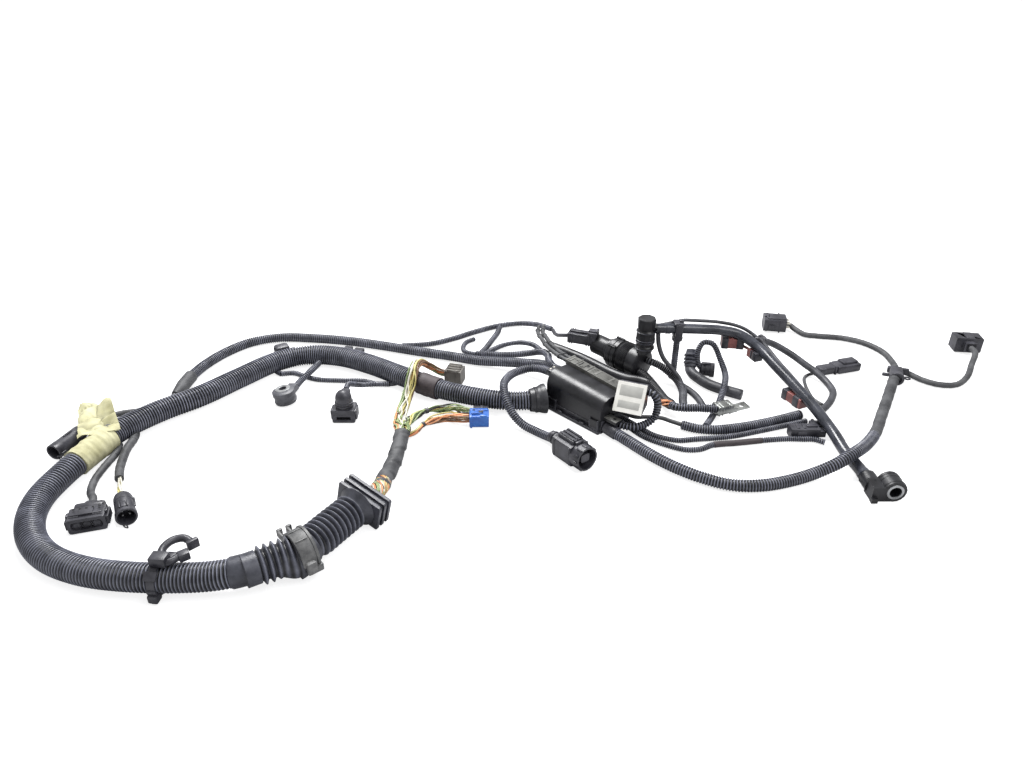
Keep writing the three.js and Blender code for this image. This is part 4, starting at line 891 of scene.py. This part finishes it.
def clamp():
    frame_of = facing((-255.6, -233.4, 20.6), (0.76, 0.65))
    band = [
        (17.2, 0), (19.6, 0), (20.2, 0.6), (20.4, 12.4),
        (21.4, 12.8), (21.4, 14.8), (20.9, 15.2), (17.2, 15.2),
    ]
    shape = Shape().tube(spun(band, frame_of, 64), closed=True)
    shape.bricks(frame_of, (
        ((15, 2.2, 7), (-25, 1.6, 3), 0.5),
        ((15, 2.2, 7), (-25, 10.4, 3), 0.5),
        ((3, 5, 7.4), (-31, 3.2, 3.4), 0.6),
        ((3, 5, 7.4), (-31, 12, 3.4), 0.6),
        ((7, 9, 12), (21, 6, -2), 1.2),
        ((6, 13, 7), (20, 10, -6), 1.0),
        ((1.4, 11, 1.4), (-5, 6.4, 19.8), 0.3),
        ((1.4, 11, 1.4), (8, 6.4, 18.7), 0.3),
    ))
    shape.build("clamp_band", "worn", slot="plastic_black", replaces=["grommet_clamp"], sharp=45)


bellows()
clamp()
strands(
    "flange_wires", SHEATH[:3] + [(-0.1952, -0.1245, 0.0155)], 8.6, 1.1,
    ORANGES[:2] + YELLOWS[:2] + ORANGES[:1], [], 34, 1.6, 3,
)

# Paper tape: the wrap and its crumpled flap


def paper_tape():
    path = Path(TRUNK)
    first, last = sorted((path.near((-513, -90, 15)), path.near((-500, -44, 15))))
    steps = np.linspace(first, last, 90)
    sides = 60
    radii = np.full((90, sides), 15.1 * MM) - lumps(steps, sides, 1.8, 2, 240)
    shape = Shape().tube(path.rings(steps, radii, sides))
    near, far = ((-519, -68, 27.5), (-486, -43, 28)), ((-562, 19, 17), (-524, 17, 18))
    count = 40
    grid = []
    painted_lights = []
    for i in range(count + 1):
        for j in range(count + 1):
            u, v = i / count, j / count
            left = Vector(near[0]).lerp(Vector(far[0]), u)
            right = Vector(near[1]).lerp(Vector(far[1]), u)
            spot = left.lerp(right, v)
            fold = abs(noise.noise(spot * 0.03 + Vector((4, 1, 0))))
            crease = abs(noise.noise(spot * 0.065 + Vector((0, 7, 0))))
            spot.z += 20 * fold * (0.3 + u) + 10 * crease + 3.5 * math.sin(u * math.pi) - 3.0
            # Painted shade along the creases and folds of the flap, with a faint painted highlight between
            # them
            painted_lights.append(min(0.06, 6 * crease - 0.42) + min(0.0, 8 * fold - 0.3))
            edge = noise.noise(Vector((u * 2, v * 2, 2))) * 2.4
            spot.x += edge * (v - 0.5) * 2
            spot.y += edge * u
            grid.append(spot)
    row = count + 1
    under = [spot - Vector((0, 0, 0.5)) for spot in grid]
    faces = []
    for i in range(count):
        for j in range(count):
            a = i * row + j
            faces.append((a, a + 1, a + row + 1, a + row))
            faces.append(tuple(k + row * row for k in (a, a + row, a + row + 1, a + 1)))
    rim = [j for j in range(row)] + [i * row + count for i in range(1, row)]
    rim += [count * row + j for j in range(count - 1, -1, -1)] + [i * row for i in range(count - 1, 0, -1)]
    for a, b in zip(rim, rim[1:] + rim[:1]):
        faces.append((b, a, a + row * row, b + row * row))
    shape.add([spot * MM for spot in grid + under], faces, 0, painted_lights * 2)
    shape.build("paper_wrap", "tape_paper", replaces=["paper_tape"], sharp=28)


paper_tape()

# Left end: barrel, round and six-pin connectors


def left_connectors():
    barrel = aimed((-551.5, -64, 9.2), (-540.6, -18, 9.2))
    body = [
        (0.5, 14), (6.7, 14), (6.9, 0.5), (7.3, 0), (8.4, 0), (8.8, 0.5), (8.8, 9), (8.5, 9.6), (8.5, 38),
        (8.2, 40), (6.4, 46), (4.6, 48), (0.5, 48),
    ]
    shape = Shape().tube(spun(body, barrel, 48))
    shape.bricks(barrel, (((3, 7, 2.4), (8.2, 4.5, -1), 0.5), ((2, 12, 1.6), (0, 24, 8.7), 0.4)))
    shape.hoop(barrel @ Vector((0.0075, -0.0012, -0.0045)) / MM, (0.3, 1, 0.2), 2.6, 0.75)
    shape.bricks(barrel, pair((1, 6, 1), (2.4, 15, 0), 0.2), 1)
    shape.build("barrel_body", "plastic_black", "bright", replaces=["barrel_connector"])
    plug = facing((-444.4, -141, 10.4), (0.49, -0.87))
    body = [
        (0.5, -3), (5, -3), (6.4, -1.6), (8, 1), (8.8, 4), (8.9, 11), (8.5, 11.4), (8.5, 12.4),
        (8.9, 12.8), (9.0, 26), (8.7, 26.5), (8.7, 27.5), (9.6, 28), (9.8, 33.4), (9.4, 34), (8.0, 34),
        (7.6, 33), (7.5, 20), (0.5, 20),
    ]
    shape = Shape().tube(spun(body, plug, 52))
    shape.bricks(plug, (
        ((4.4, 9, 2.2), (0, 25, 9.4), 0.5),
        *pair((1.2, 9, 2.8), (3.4, 25, 9.2), 0.3),
        ((3, 14, 1.6), (-8.6, 14, 1), 0.4),
    ))
    shape.hoop(plug @ Vector((0.003, 0.0355, -0.0082)) / MM, (0.4, 1, 0.1), 2.5, 0.7)
    shape.bricks(plug, [((1.6, 7, 1.6), (x, 23, z), 0.3) for x in (-3, 3) for z in (-2.4, 2.4)], 1)
    shape.build("round_body", "plastic_black", "bright", replaces=["round_connector"])
    strands("round_wires", ROUND_WIRES, 3.0, 0.9, ("wires_yellow", "white"), [], 4, 0.6, 1)
    six = facing((-468.5, -154.6, 9), (0.29, -0.957))
    shape = Shape()
    for x in (-8.4, 0, 8.4):
        for radius in (3.9, 2.7):
            port = six @ Matrix.Translation((x * MM, 0.4 * MM, 0))
            shape.band(port, radius, radius + 0.5, 23.4, 24.8, sides=28)
    shape.bricks(six, (
        ((11, 9, 11), (0, -1, 0), 2.0),
        ((26, 7, 16.4), (0, 5, 0.4), 3.0),
        *pair((2.4, 6, 3), (16.6, 17, 6.6), 0.8),
        ((28, 1.4, 1.2), (0, 21.6, 9.4), 0.3),
    ))
    # Small dark slots on top: painted shade
    shape.bricks(six, [((2.0, 1.6, 0.8), (x, 12.5, 9.5), 0.2) for x in (-11, -5.5, 0, 5.5, 11)], 1)
    shape.build("six_pin_details", "plastic_black", "painted_hole_shade")


left_connectors()


# Branches in front: sensor face, elbow collar, bundle plugs


def front_branches():
    sensor = Matrix.Translation((-0.337, 0.0535, 0.002)) @ Matrix.Rotation(-0.12, 4, "Y")
    sensor = sensor @ UPRIGHT
    shape = Shape()
    rim = [(4.5, 17.2), (8.8, 17.2), (8.8, 17.9), (8.4, 18.2), (4.9, 18.2), (4.5, 17.9)]
    shape.tube(spun(rim, sensor, 44), closed=True)
    shape.band(sensor, 12.4, 13.1, 2, 3.8, 0.4, 1, 44)
    shape.build("sensor_face", "bright", "sensor_grey", slot="sensor_grey")
    elbow = facing((-260, 18, 0), (0, 1))
    upright = elbow @ Matrix.Translation((0, 0.001, 0)) @ UPRIGHT
    shape = Shape()
    for height in (19, 21.6):
        shape.band(upright, 9.2, 10.4, height, height + 1.6, 0.4)
    shape.bricks(elbow, (
        ((29, 3, 5), (0, -7.6, 13), 0.8),
        ((24, 3, 3), (0, -9.6, 2.6), 0.6),
        *pair((3, 14, 12), (13.4, 0, 9), 0.8),
    ))
    shape.build("elbow_details", "plastic_black")
    plug = facing((-113, 21.3, 6.8), (1, 0))
    shape = Shape().bricks(plug, (((11, 17, 11), (0, 8.5, 0), 0.8), ((8, 3, 1.4), (0, 10, 6), 0.3)))
    shape.build("bundle_plug", "plastic_black", replaces=["bundle_b"])
    grey = facing((-149.6, 106.5, 10), (0.97, -0.24))
    shape = Shape().bricks(grey, [((1.4, 17, 1.2), (x, 9.6, 10.2), 0.3) for x in (-8.4, -3, 3, 8.4)])
    shape.bricks(grey, [((21.4, 2, 20), (0, y, 0), 0.4) for y in (3, 15)])
    shape.build("grey_details", "plastic_brown")
    blue = facing((-116.6, 6, 8), (1, 0.02))
    shape = Shape().bricks(blue, (
        ((5, 20, 1.6), (-6.4, 10.6, 7.2), 0.4),
        ((5, 8, 1.6), (5.6, 16, 7.2), 0.4),
        ((19.4, 2.2, 15), (0, 2, 0), 0.4),
        ((1.6, 18, 13), (-9, 11, 0), 0.4),
    ))
    # Dark slots: painted shade
    shape.bricks(blue, (((3.4, 5, 0.8), (0.4, 13, 9), 0.2), ((2, 3, 0.8), (-3.4, 5, 8.8), 0.2)), 1)
    shape.build("blue_details", "plastic_blue", "painted_hole_shade")


front_branches()

# Control box: duct ribs, end clip, base details, label fields

BOX = Matrix.Translation((-0.0273, 0.0456, 0)) @ Matrix.Rotation(-0.813, 4, "Z")


def fall(x, z):
    """How far the lid has come down at a place along it, as in the CAD lid."""
    return 6.0 * max(0.0, z - 20) / 27.5 * x / 84


def on_lid(size, x, y, z, bevel):
    """A block that follows the slope of the lid."""
    return size, (x, y, z - fall(x, z)), bevel


def control_box():
    ribs = [on_lid((0.9, 12.8, 0.9), 34 + k * 1.9, 40.2, 49.4, 0.2) for k in range(26)]
    ribs += [on_lid((1.6, 15.6, 1.2), x, 40.2, 49.5, 0.3) for x in (-1, 12, 30)]
    ribs.append(on_lid((4, 3, 1.6), 20, 36, 49.6, 0.3))
    ribs.append(on_lid((7, 2, 1.2), 7, 43, 49.6, 0.3))
    shape = Shape().bricks(BOX, ribs)
    # Dark slots on the duct: painted shade
    shape.bricks(BOX, (
        on_lid((2.6, 4, 0.8), 25, 42, 49.4, 0.1),
        on_lid((1.2, 9, 0.8), 16, 40, 49.5, 0.1),
    ), 1)
    shape.bricks(BOX, (((17.4, 10.6, 0.8), (91, 10, 20), 0.2),))
    # A dark disc for the hole in the end plate: painted shade
    shape.bricks(BOX, (((3.6, 3.6, 0.8), (94, 10, 20.2), 0.3),), 1)
    shape.build("duct_ribs", "plastic_grey", "painted_hole_shade")
    shape = Shape().bricks(BOX, (
        ((9, 15, 8), (-3.5, 13.6, 40.6), 1.0),
        ((4, 4, 10), (-1.6, 23, 38), 0.6),
        ((66, 0.9, 0.9), (42, -1.9, 10.4), 0.3),
        ((72, 1.2, 1.2), (44, -3.9, 3.6), 0.4),
    ))
    shape.bricks(BOX, [((7, 2.4, 5), (x, -3.2, 3.4), 0.6) for x in (24, 58)])
    shape.bricks(BOX, [((2.2, 2.4, 11), (x, -2.4, 11.4), 0.5) for x in (5.4, 16.6, 69.4, 80.6)])
    shape.bricks(BOX, [((1.8, 2.6, 0.6), (-5, y, 44.6), 0.1) for y in (10.4, 16)], 1)
    shape.build("box_details", "plastic_black", "white")
    label = Matrix.Translation((0.0416, -0.0126, 0.03)) @ Matrix.Rotation(-0.394, 4, "Z")
    label = label @ Matrix.Rotation(-0.62, 4, "X")
    shape = Shape().bricks(label, (
        ((25, 0.14, 12), (16.4, -0.84, 24.4), 0.02),
        ((24, 0.14, 8), (16.4, -0.84, 9), 0.02),
    ))
    shape.build("label_fields", "tint", slot="label_white")


control_box()

# Valve, riser and pipe


def valve():
    drum = aimed((42, 171, 20), (95, 111.6, 20))
    profile = [
        (0.5, 0), (12.4, 0), (12.9, 0.6), (12.9, 23.6), (15.2, 25.4), (15.9, 26), (15.9, 30), (19, 31.6),
        (19.6, 32.4), (19.6, 38), (18.9, 38.4), (18.9, 39), (19.6, 39.4), (19.6, 45), (18, 45.8),
        (17.4, 47), (18, 48.8), (19.6, 49.6),
    ]
    for k in range(10):
        profile += [(19.7, 50 + k * 1.2), (19.1, 50.6 + k * 1.2)]
    profile += [
        (19.6, 62.4), (18.6, 63), (18.6, 64), (19.7, 64.6), (19.7, 77.2), (19, 78.4), (16.6, 79.5),
        (0.5, 79.5),
    ]
    shape = Shape().tube(spun(profile, drum, 64))
    shape.bricks(drum, [((3, 13, 2.4), (x, 38, z), 0.6) for x, z in ((-4, 19.6), (13, 15))])
    shape.build("drum", "plastic_gloss", replaces=["valve_body"], sharp=30)
    plug = facing((7, 181, 27), (0.93, -0.36))
    shape = Shape().bricks(plug, [((18.4, 1.6, 14.8), (0, y, 0), 0.4) for y in (3, 6, 26, 29.4, 32.8)])
    shape.bricks(plug, (
        ((7, 26, 2.4), (0, 14, 8), 0.6),
        ((10, 3, 4), (0, 38, 12.4), 0.7),
        *pair((3, 12, 6), (6.4, 33, 8.6), 0.7),
    ))
    shape.build("plug_details", "plastic_black")
    cap = Matrix.Translation((0.0946, 0.112, 0)) @ UPRIGHT
    shape = Shape()
    for height in (44, 52.4, 55.4, 66):
        shape.band(cap, 11.2, 11.9, height, height + 1.3, 0.3, sides=48)
    shape.build("cap_seals", "rubber_black")


def riser():
    path = Path([(0.134, 0.1146, z) for z in (0.0006, 0.02, 0.04, 0.057)])
    s = path.s / MM
    radii = 4.2 - 0.8 * (0.5 + 0.5 * np.cos(2 * math.pi * s / 2.7))
    shape = Shape().tube(path.rings(path.s, radii * MM, 24))
    post = Matrix.Translation((0.134, 0.1146, 0)) @ UPRIGHT
    shape.tube(spun([(0.5, 0.4), (5.2, 0.4), (5.5, 0.8), (5.5, 3), (4, 3.6), (0.5, 3.6)], post, 32))
    shape.tube(spun([(0.5, 53), (6, 53), (6.4, 53.4), (6.4, 57.4), (6, 57.8), (0.5, 57.8)], post, 32))
    shape.bricks(Matrix.Identity(4), (
        ((11, 13, 3.2), (134, 114.6, 58.4), 0.8),
        ((9, 3, 20), (134, 107.6, 66), 0.9),
        ((9, 3, 20), (134, 121.8, 66), 0.9),
        ((12, 14.6, 3), (134, 114.6, 76.2), 0.9),
        ((5, 6, 3.4), (137, 114.6, 78.6), 0.8),
    ), 1)
    shape.build("riser", "conduit_black", "plastic_black", replaces=["riser_conduit"], sharp=40)


def pipe():
    path = Path(PIPE)
    shape = Shape().tube(path.even(6.1, 150, 28))
    for share in (0.04, 0.96):
        shape.tube(path.tie(share, 3, 0.3, 6, 6.7, 28))
    shape.build("pipe_skin", "pipe_black", replaces=["rigid_pipe"], sharp=40)
    steps = np.linspace(0.02, 0.8, 110) * path.length
    rise = np.interp(steps / path.length, (0.02, 0.1, 0.3, 0.42, 0.6), (1.0, 8.0, 7.0, 3.0, 0.5)) * MM
    shape = Shape().tube(path.rings(steps, np.full(len(steps), 2.2 * MM), 14, (-7.8 * MM, rise)))
    shape.build("pipe_tube", "hose_grey", sharp=50)


valve()
riser()
pipe()

# Right end and the heads of the hoses


def right_end():
    joint = facing((406.2, 94.6, 8.2), (0.35, 0.94))
    shape = Shape().bricks(joint, (
        ((15, 24, 13.5), (0, 15, 0), 3.0),
        ((25, 6, 8), (3, 27, -0.4), 1.2),
        ((8, 4, 4), (-12, 12, -1), 1.0),
    ))
    collar = [(5.8, 0.5), (8.3, 0.5), (8.7, 1), (8.7, 6.4), (8.3, 7), (5.8, 7)]
    shape.tube(spun(collar, joint), closed=True)
    shape.hoop(joint @ Vector((0.0125, 0.008, 0)) / MM, (0, 0, 1), 3.0, 1.0)
    shape.build("branch_joint", "plastic_black")
    left = facing((316.6, 251, 11.5), (-0.98, 0.18))
    shape = Shape().bricks(left, (
        ((17, 3, 22), (0, 25.6, 0), 1.0),
        ((27, 2, 19.6), (0, 9, 0), 0.8),
        ((3, 24, 3), (-9.4, 14, 9.4), 0.9),
        ((10, 6, 3), (0, 27, 10), 0.8),
    ))
    shape.bricks(left, [((1.8, 7, 1.8), (x, -2, z), 0.6) for x in (-8, -3, 3, 8) for z in (-3, 3)], 1)
    shape.build("left_cam_details", "plastic_black", "white")
    right = facing((537.8, 173.4, 12), (0.12, 0.99))
    shape = Shape().bricks(right, (
        ((9, 16, 1.6), (-1, 16, 10.2), 0.6),
        ((34.8, 2, 19.8), (0, 26, 0), 0.9),
        ((15, 2, 13), (0, 1, 0), 0.7),
    ))
    shape.build("right_cam_details", "plastic_black")
    clip = facing((318.4, 120.6, 6.6), (0.955, 0.296))
    shape = Shape().bricks(clip, (
        ((13, 27, 10), (0, 13, 0), 2.0),
        ((19, 34, 11), (0, 41, 0.2), 2.4),
        ((13, 22, 4), (-1, 44, 6.4), 1.4),
        ((15, 3, 11.6), (0, 22, 0), 0.8),
    ))
    shape.hoop(clip @ Vector((-0.0045, 0.057, 0.0015)) / MM, (0, 0, 1), 3.6, 1.5)
    shape.hoop(clip @ Vector((0.0045, 0.004, 0.004)) / MM, (0, 0, 1), 2.6, 1.1)
    shape.build("clip_body", "plastic_black", replaces=["clip_connector"])
    head = aimed((231, 109, 52), (246, 134, 44))
    profile = [
        (0.5, 0), (5.8, 0), (6.4, 0.6), (6.4, 8), (7, 8.4), (7, 10.6), (6.4, 11), (6.4, 24), (5.8, 28),
        (0.5, 28),
    ]
    shape = Shape().tube(spun(profile, head, 36))
    shape.bricks(head, (((4, 12, 3), (0, 14, 6.6), 0.8), ((3, 5, 3), (6, 18, 2), 0.8)))
    shape.build("hose_head", "plastic_black", slot="hose_grey", replaces=["grey_hose"])
    plug = aimed((168, 120.4, 9.4), (186, 117, 9.4))
    profile = [
        (0.5, 0), (5.8, 0), (6.4, 0.8), (8, 2), (8, 5), (7.4, 5.4), (7.4, 6.4), (8, 6.8), (8, 12),
        (9, 13), (9, 18), (0.5, 18),
    ]
    shape = Shape().tube(spun(profile, plug)).bricks(plug, (((5, 12, 3), (0, 8, 8), 0.8),))
    shape.build("hose_plug", "plastic_black", slot="conduit_black", replaces=["loop_hose"])
    lug = facing((163.2, 15.4, 14), (0.92, 0.36))
    shape = Shape().bricks(lug, [((15.4, 1.2, 11.8), (0, y, 0), 0.4) for y in (2, 6, 16)])
    shape.build("lug_crimps", "terminal_metal")
    quick = facing((304, -116, 12), (0, -1))
    shape = Shape()
    for radius, y in ((11.8, 2), (11.8, 6), (12, 15)):
        shape.band(quick, radius - 0.6, radius, y, y + 1.7, 0.3, sides=48)
    mouth = [(5.7, 18.6), (8, 18.6), (8.4, 19.2), (8.2, 19.8), (6, 19.8)]
    shape.tube(spun(mouth, quick), 1, closed=True)
    shape.build("quick_rings", "plastic_gloss", "bright")
    housing = facing((238, -19, 6.8), (1, 0))
    shape = Shape().bricks(housing, (
        *(((10, 3, 1.6), (0, y, 6.8), 0.4) for y in (8, 15)),
        ((4, 12, 2.4), (0, 24, 6.8), 0.6),
        ((2, 10, 7), (7.2, 12, 0), 0.5),
        ((9, 9, 8), (0, 35.4, -1.6), 1.0),
        ((12, 16, 10), (-12, 35, -1.6), 1.2),
        ((13.4, 3, 11.4), (-12, 31, -1), 0.6),
        ((4, 9, 2), (-12, 36, 4), 0.5),
    ))
    shape.build("housing_details", "plastic_black")


right_end()
COPPERS = ("copper", "brown", "wires_orange")
strands(
    "copper_wires", [(0.1, 0.036, 0.0125), (0.107, 0.0315, 0.0135), (0.116, 0.0262, 0.0134)], 4.6, 1.0,
    COPPERS, [], 9, 0.8, 7, slot="wires_orange",
)


# Small pieces: cable clips, relay bands, the plug's collar, lead roots, the sleeve behind the box


def small_pieces():
    frame_of = facing((-369, -255.2, 16.4), (1, -0.08))
    shape = Shape().band(frame_of, 13.0, 14.3, 3, 10, sides=48)
    for turn, size in ((0.75, (8, 11, 2.4)), (1.9, (7, 8, 2)), (-0.35, (10, 9, 2))):
        shape.bricks(frame_of @ Matrix.Rotation(turn, 4, "Y"), ((size, (0, 6.5, 14.6), 0.5),))
    shape.bricks(frame_of, (
        ((9, 9, 8), (12, 6.5, -10), 1.6),
        ((5, 6, 4), (12.5, 6.5, -13.8), 1.2),
        ((11, 14, 9), (-2, 10.4, 18.6), 0.8),
        ((9, 8, 3), (-9, 16, 16), 0.8),
    ))
    arm = [
        (-0.359, -0.252, 0.034), (-0.36, -0.2416, 0.036), (-0.3567, -0.2348, 0.037),
        (-0.3526, -0.2313, 0.037), (-0.3466, -0.2302, 0.037), (-0.3399, -0.2335, 0.036),
    ]
    jaw = [
        (-0.3575, -0.256, 0.033), (-0.3503, -0.2548, 0.033), (-0.3461, -0.2501, 0.033),
        (-0.3391, -0.2448, 0.033),
    ]
    for points, radius, count in ((arm, 3.4, 40), (jaw, 3.2, 20)):
        shape.tube(Path(points).even(radius, count, 14))
    shape.bricks(facing((-337.4, -235.6, 35.6), (0.72, -0.69)), (((10, 4, 9), (0, 0, 0), 0.8),))
    shape.bricks(facing((-341.5, -247, 33), (0.8, 0.6)), (((8, 9, 7.6), (0, 0, 0), 0.9),))
    shape.build("clip", "plastic_black", replaces=["cable_clip"])
    one = facing((-358, 141.5, 13), (-0.54, 0.84))
    two = facing((-282, 145, 13), (0.22, 0.97))
    shape = Shape().bricks(one, (((19, 15, 20), (1, 18.5, 1.5), 4.0), ((9, 5, 6), (13, 16, 2), 1.6)))
    shape.bricks(two, (((11, 16, 8), (-7, 20, -1.5), 1.6), ((13, 16, 8), (8, 20, -2.5), 1.8)))
    shape.build("trunk_clips", "plastic_black")
    shape = Shape()
    one = facing((192, 126, 45.4), (1, -0.12))
    two = facing((252.5, 46, 19.4), (0.4, -0.92))
    for relay, height in ((one, 13), (two, 12)):
        shape.bricks(relay, (
            ((14, 8, height + 1), (0, 4, 0), 0.8),
            ((14, 9, height + 1), (0, 22.5, 0), 0.8),
            ((3, 24, 2), (-3, 13, height / 2 + 0.4), 0.5),
        ))
    bracket = facing((227, 104, 39.6), (0.35, -0.94))
    shape.bricks(bracket, (((11, 8, 11), (0, 7.6, 0), 0.6), ((11, 3, 11), (0, 1.4, 0), 0.6)))
    shape.build("relay_ends", "plastic_black")
    plug = facing((-20.5, -42, 12), (0.577, -0.816)) @ Matrix.Rotation(0.05, 4, "X")
    shape = Shape().bricks(plug, (
        ((26.4, 2.2, 21), (0, 11, 0), 1.2),
        ((26.4, 2.2, 21), (0, 36, 0), 1.2),
        ((1.6, 16, 9), (-12.6, 23, 0), 0.6),
        ((10, 3, 3), (0, 38.4, 14.6), 0.8),
    ))
    for start, stop, radius in ((-9, -5.4, 6.4), (-4.6, -1.8, 7.4), (-1, 3, 6.8)):
        profile = [
            (4, start), (radius - 0.6, start), (radius, start + 0.6),
            (radius, stop - 0.6), (radius - 0.6, stop), (4, stop),
        ]
        shape.tube(spun(profile, plug, 36), closed=True)
    for k in range(12):
        around = plug @ Matrix.Rotation(k * math.pi / 6, 4, "Y")
        shape.bricks(around, (((2.2, 7, 1.4), (0, 46.5, 13.7), 0.4),))
    shape.build("plug_collar", "plastic_black")


def root(name, points, radius, look="conduit_black"):
    """The start of a lead, which comes out from under the trunk."""
    Shape().tube(Path(points).even(radius, 16, 14)).build(name, look, sharp=40)


small_pieces()
root(
    "six_lead_root", [SIX_LEAD[0], (-0.4905, -0.052, 0.0044), (-0.493, -0.042, 0.0046)], 3.9,
    look="conduit_taped",
)
root(
    "round_lead_root", [ROUND_LEAD[0], (-0.4835, -0.023, 0.0052), (-0.488, -0.014, 0.0056)], 4.6,
    look="conduit_taped",
)
root("elbow_lead_root", [ELBOW_LEAD[1], (-0.214, 0.0935, 0.0036), (-0.205, 0.1, 0.0036)], 3.2)
root("short_lead_root", [SHORT_LEAD[0], (-0.367, 0.124, 0.0034), (-0.371, 0.133, 0.0034)], 3.2)
BACK_SLEEVE = [
    (-0.016, 0.184, 0.008), (0.0005, 0.171, 0.008), (0.0235, 0.149, 0.008), (0.043, 0.126, 0.008),
    (0.06, 0.107, 0.008), (0.076, 0.095, 0.008), (0.09, 0.09, 0.0085), (0.1, 0.082, 0.009),
]
smooth_tube("back_sleeve", BACK_SLEEVE, 7.0, [], "plastic_gloss", 24)

# Floor and light


def surroundings():
    """A plain pale floor and a soft, even light."""
    floor = bpy.data.meshes.new("floor")
    half = 30.0  # metres, past every edge of the picture
    corners = [(-half, -half, 0), (half, -half, 0), (half, half, 0), (-half, half, 0)]
    floor.from_pydata(corners, [], [(0, 1, 2, 3)])
    ground = bpy.data.objects.new("floor", floor)
    ground.location = (0, 0, -0.0001)
    bpy.context.scene.collection.objects.link(ground)
    pale = bpy.data.materials.new("pale_floor")
    pale.use_nodes = True
    tree = pale.node_tree
    shader = tree.nodes["Principled BSDF"]
    shader.inputs["Base Color"].default_value = (0.52, 0.52, 0.53, 1.0)
    shader.inputs["Roughness"].default_value = 0.9
    shader.inputs["Specular IOR Level"].default_value = 0.1
    seen = tree.nodes.new("ShaderNodeLightPath")
    glow = tree.nodes.new("ShaderNodeMath")
    glow.operation = "MULTIPLY"
    glow.inputs[1].default_value = 0.78
    tree.links.new(seen.outputs["Is Camera Ray"], glow.inputs[0])
    shader.inputs["Emission Color"].default_value = (1.0, 1.0, 1.0, 1.0)
    tree.links.new(glow.outputs["Value"], shader.inputs["Emission Strength"])
    floor.materials.append(pale)

    world = bpy.data.worlds.new("soft_sky")
    bpy.context.scene.world = world
    world.use_nodes = True
    sky = world.node_tree
    back = sky.nodes["Background"]
    back.inputs["Color"].default_value = (1.0, 1.0, 1.0, 1.0)
    seen = sky.nodes.new("ShaderNodeLightPath")
    level = sky.nodes.new("ShaderNodeMapRange")
    level.inputs["To Min"].default_value = 0.55
    level.inputs["To Max"].default_value = 1.0
    sky.links.new(seen.outputs["Is Camera Ray"], level.inputs["Value"])
    sky.links.new(level.outputs["Result"], back.inputs["Strength"])

    for name, spot, size, power in (
        ("key", (-0.3, 0.7, 1.3), 0.8, 34.0),
        ("fill", (0.9, -0.6, 1.5), 1.1, 12.0),
    ):
        data = bpy.data.lights.new(name, "AREA")
        data.shape = "DISK"
        data.size = size
        data.energy = power
        lamp = bpy.data.objects.new(name, data)
        lamp.location = spot
        way = Vector((0, 0, 0)) - Vector(spot)
        lamp.rotation_euler = way.to_track_quat("-Z", "Y").to_euler()
        bpy.context.scene.collection.objects.link(lamp)


surroundings()
bpy.context.scene.view_settings.view_transform = "Standard"
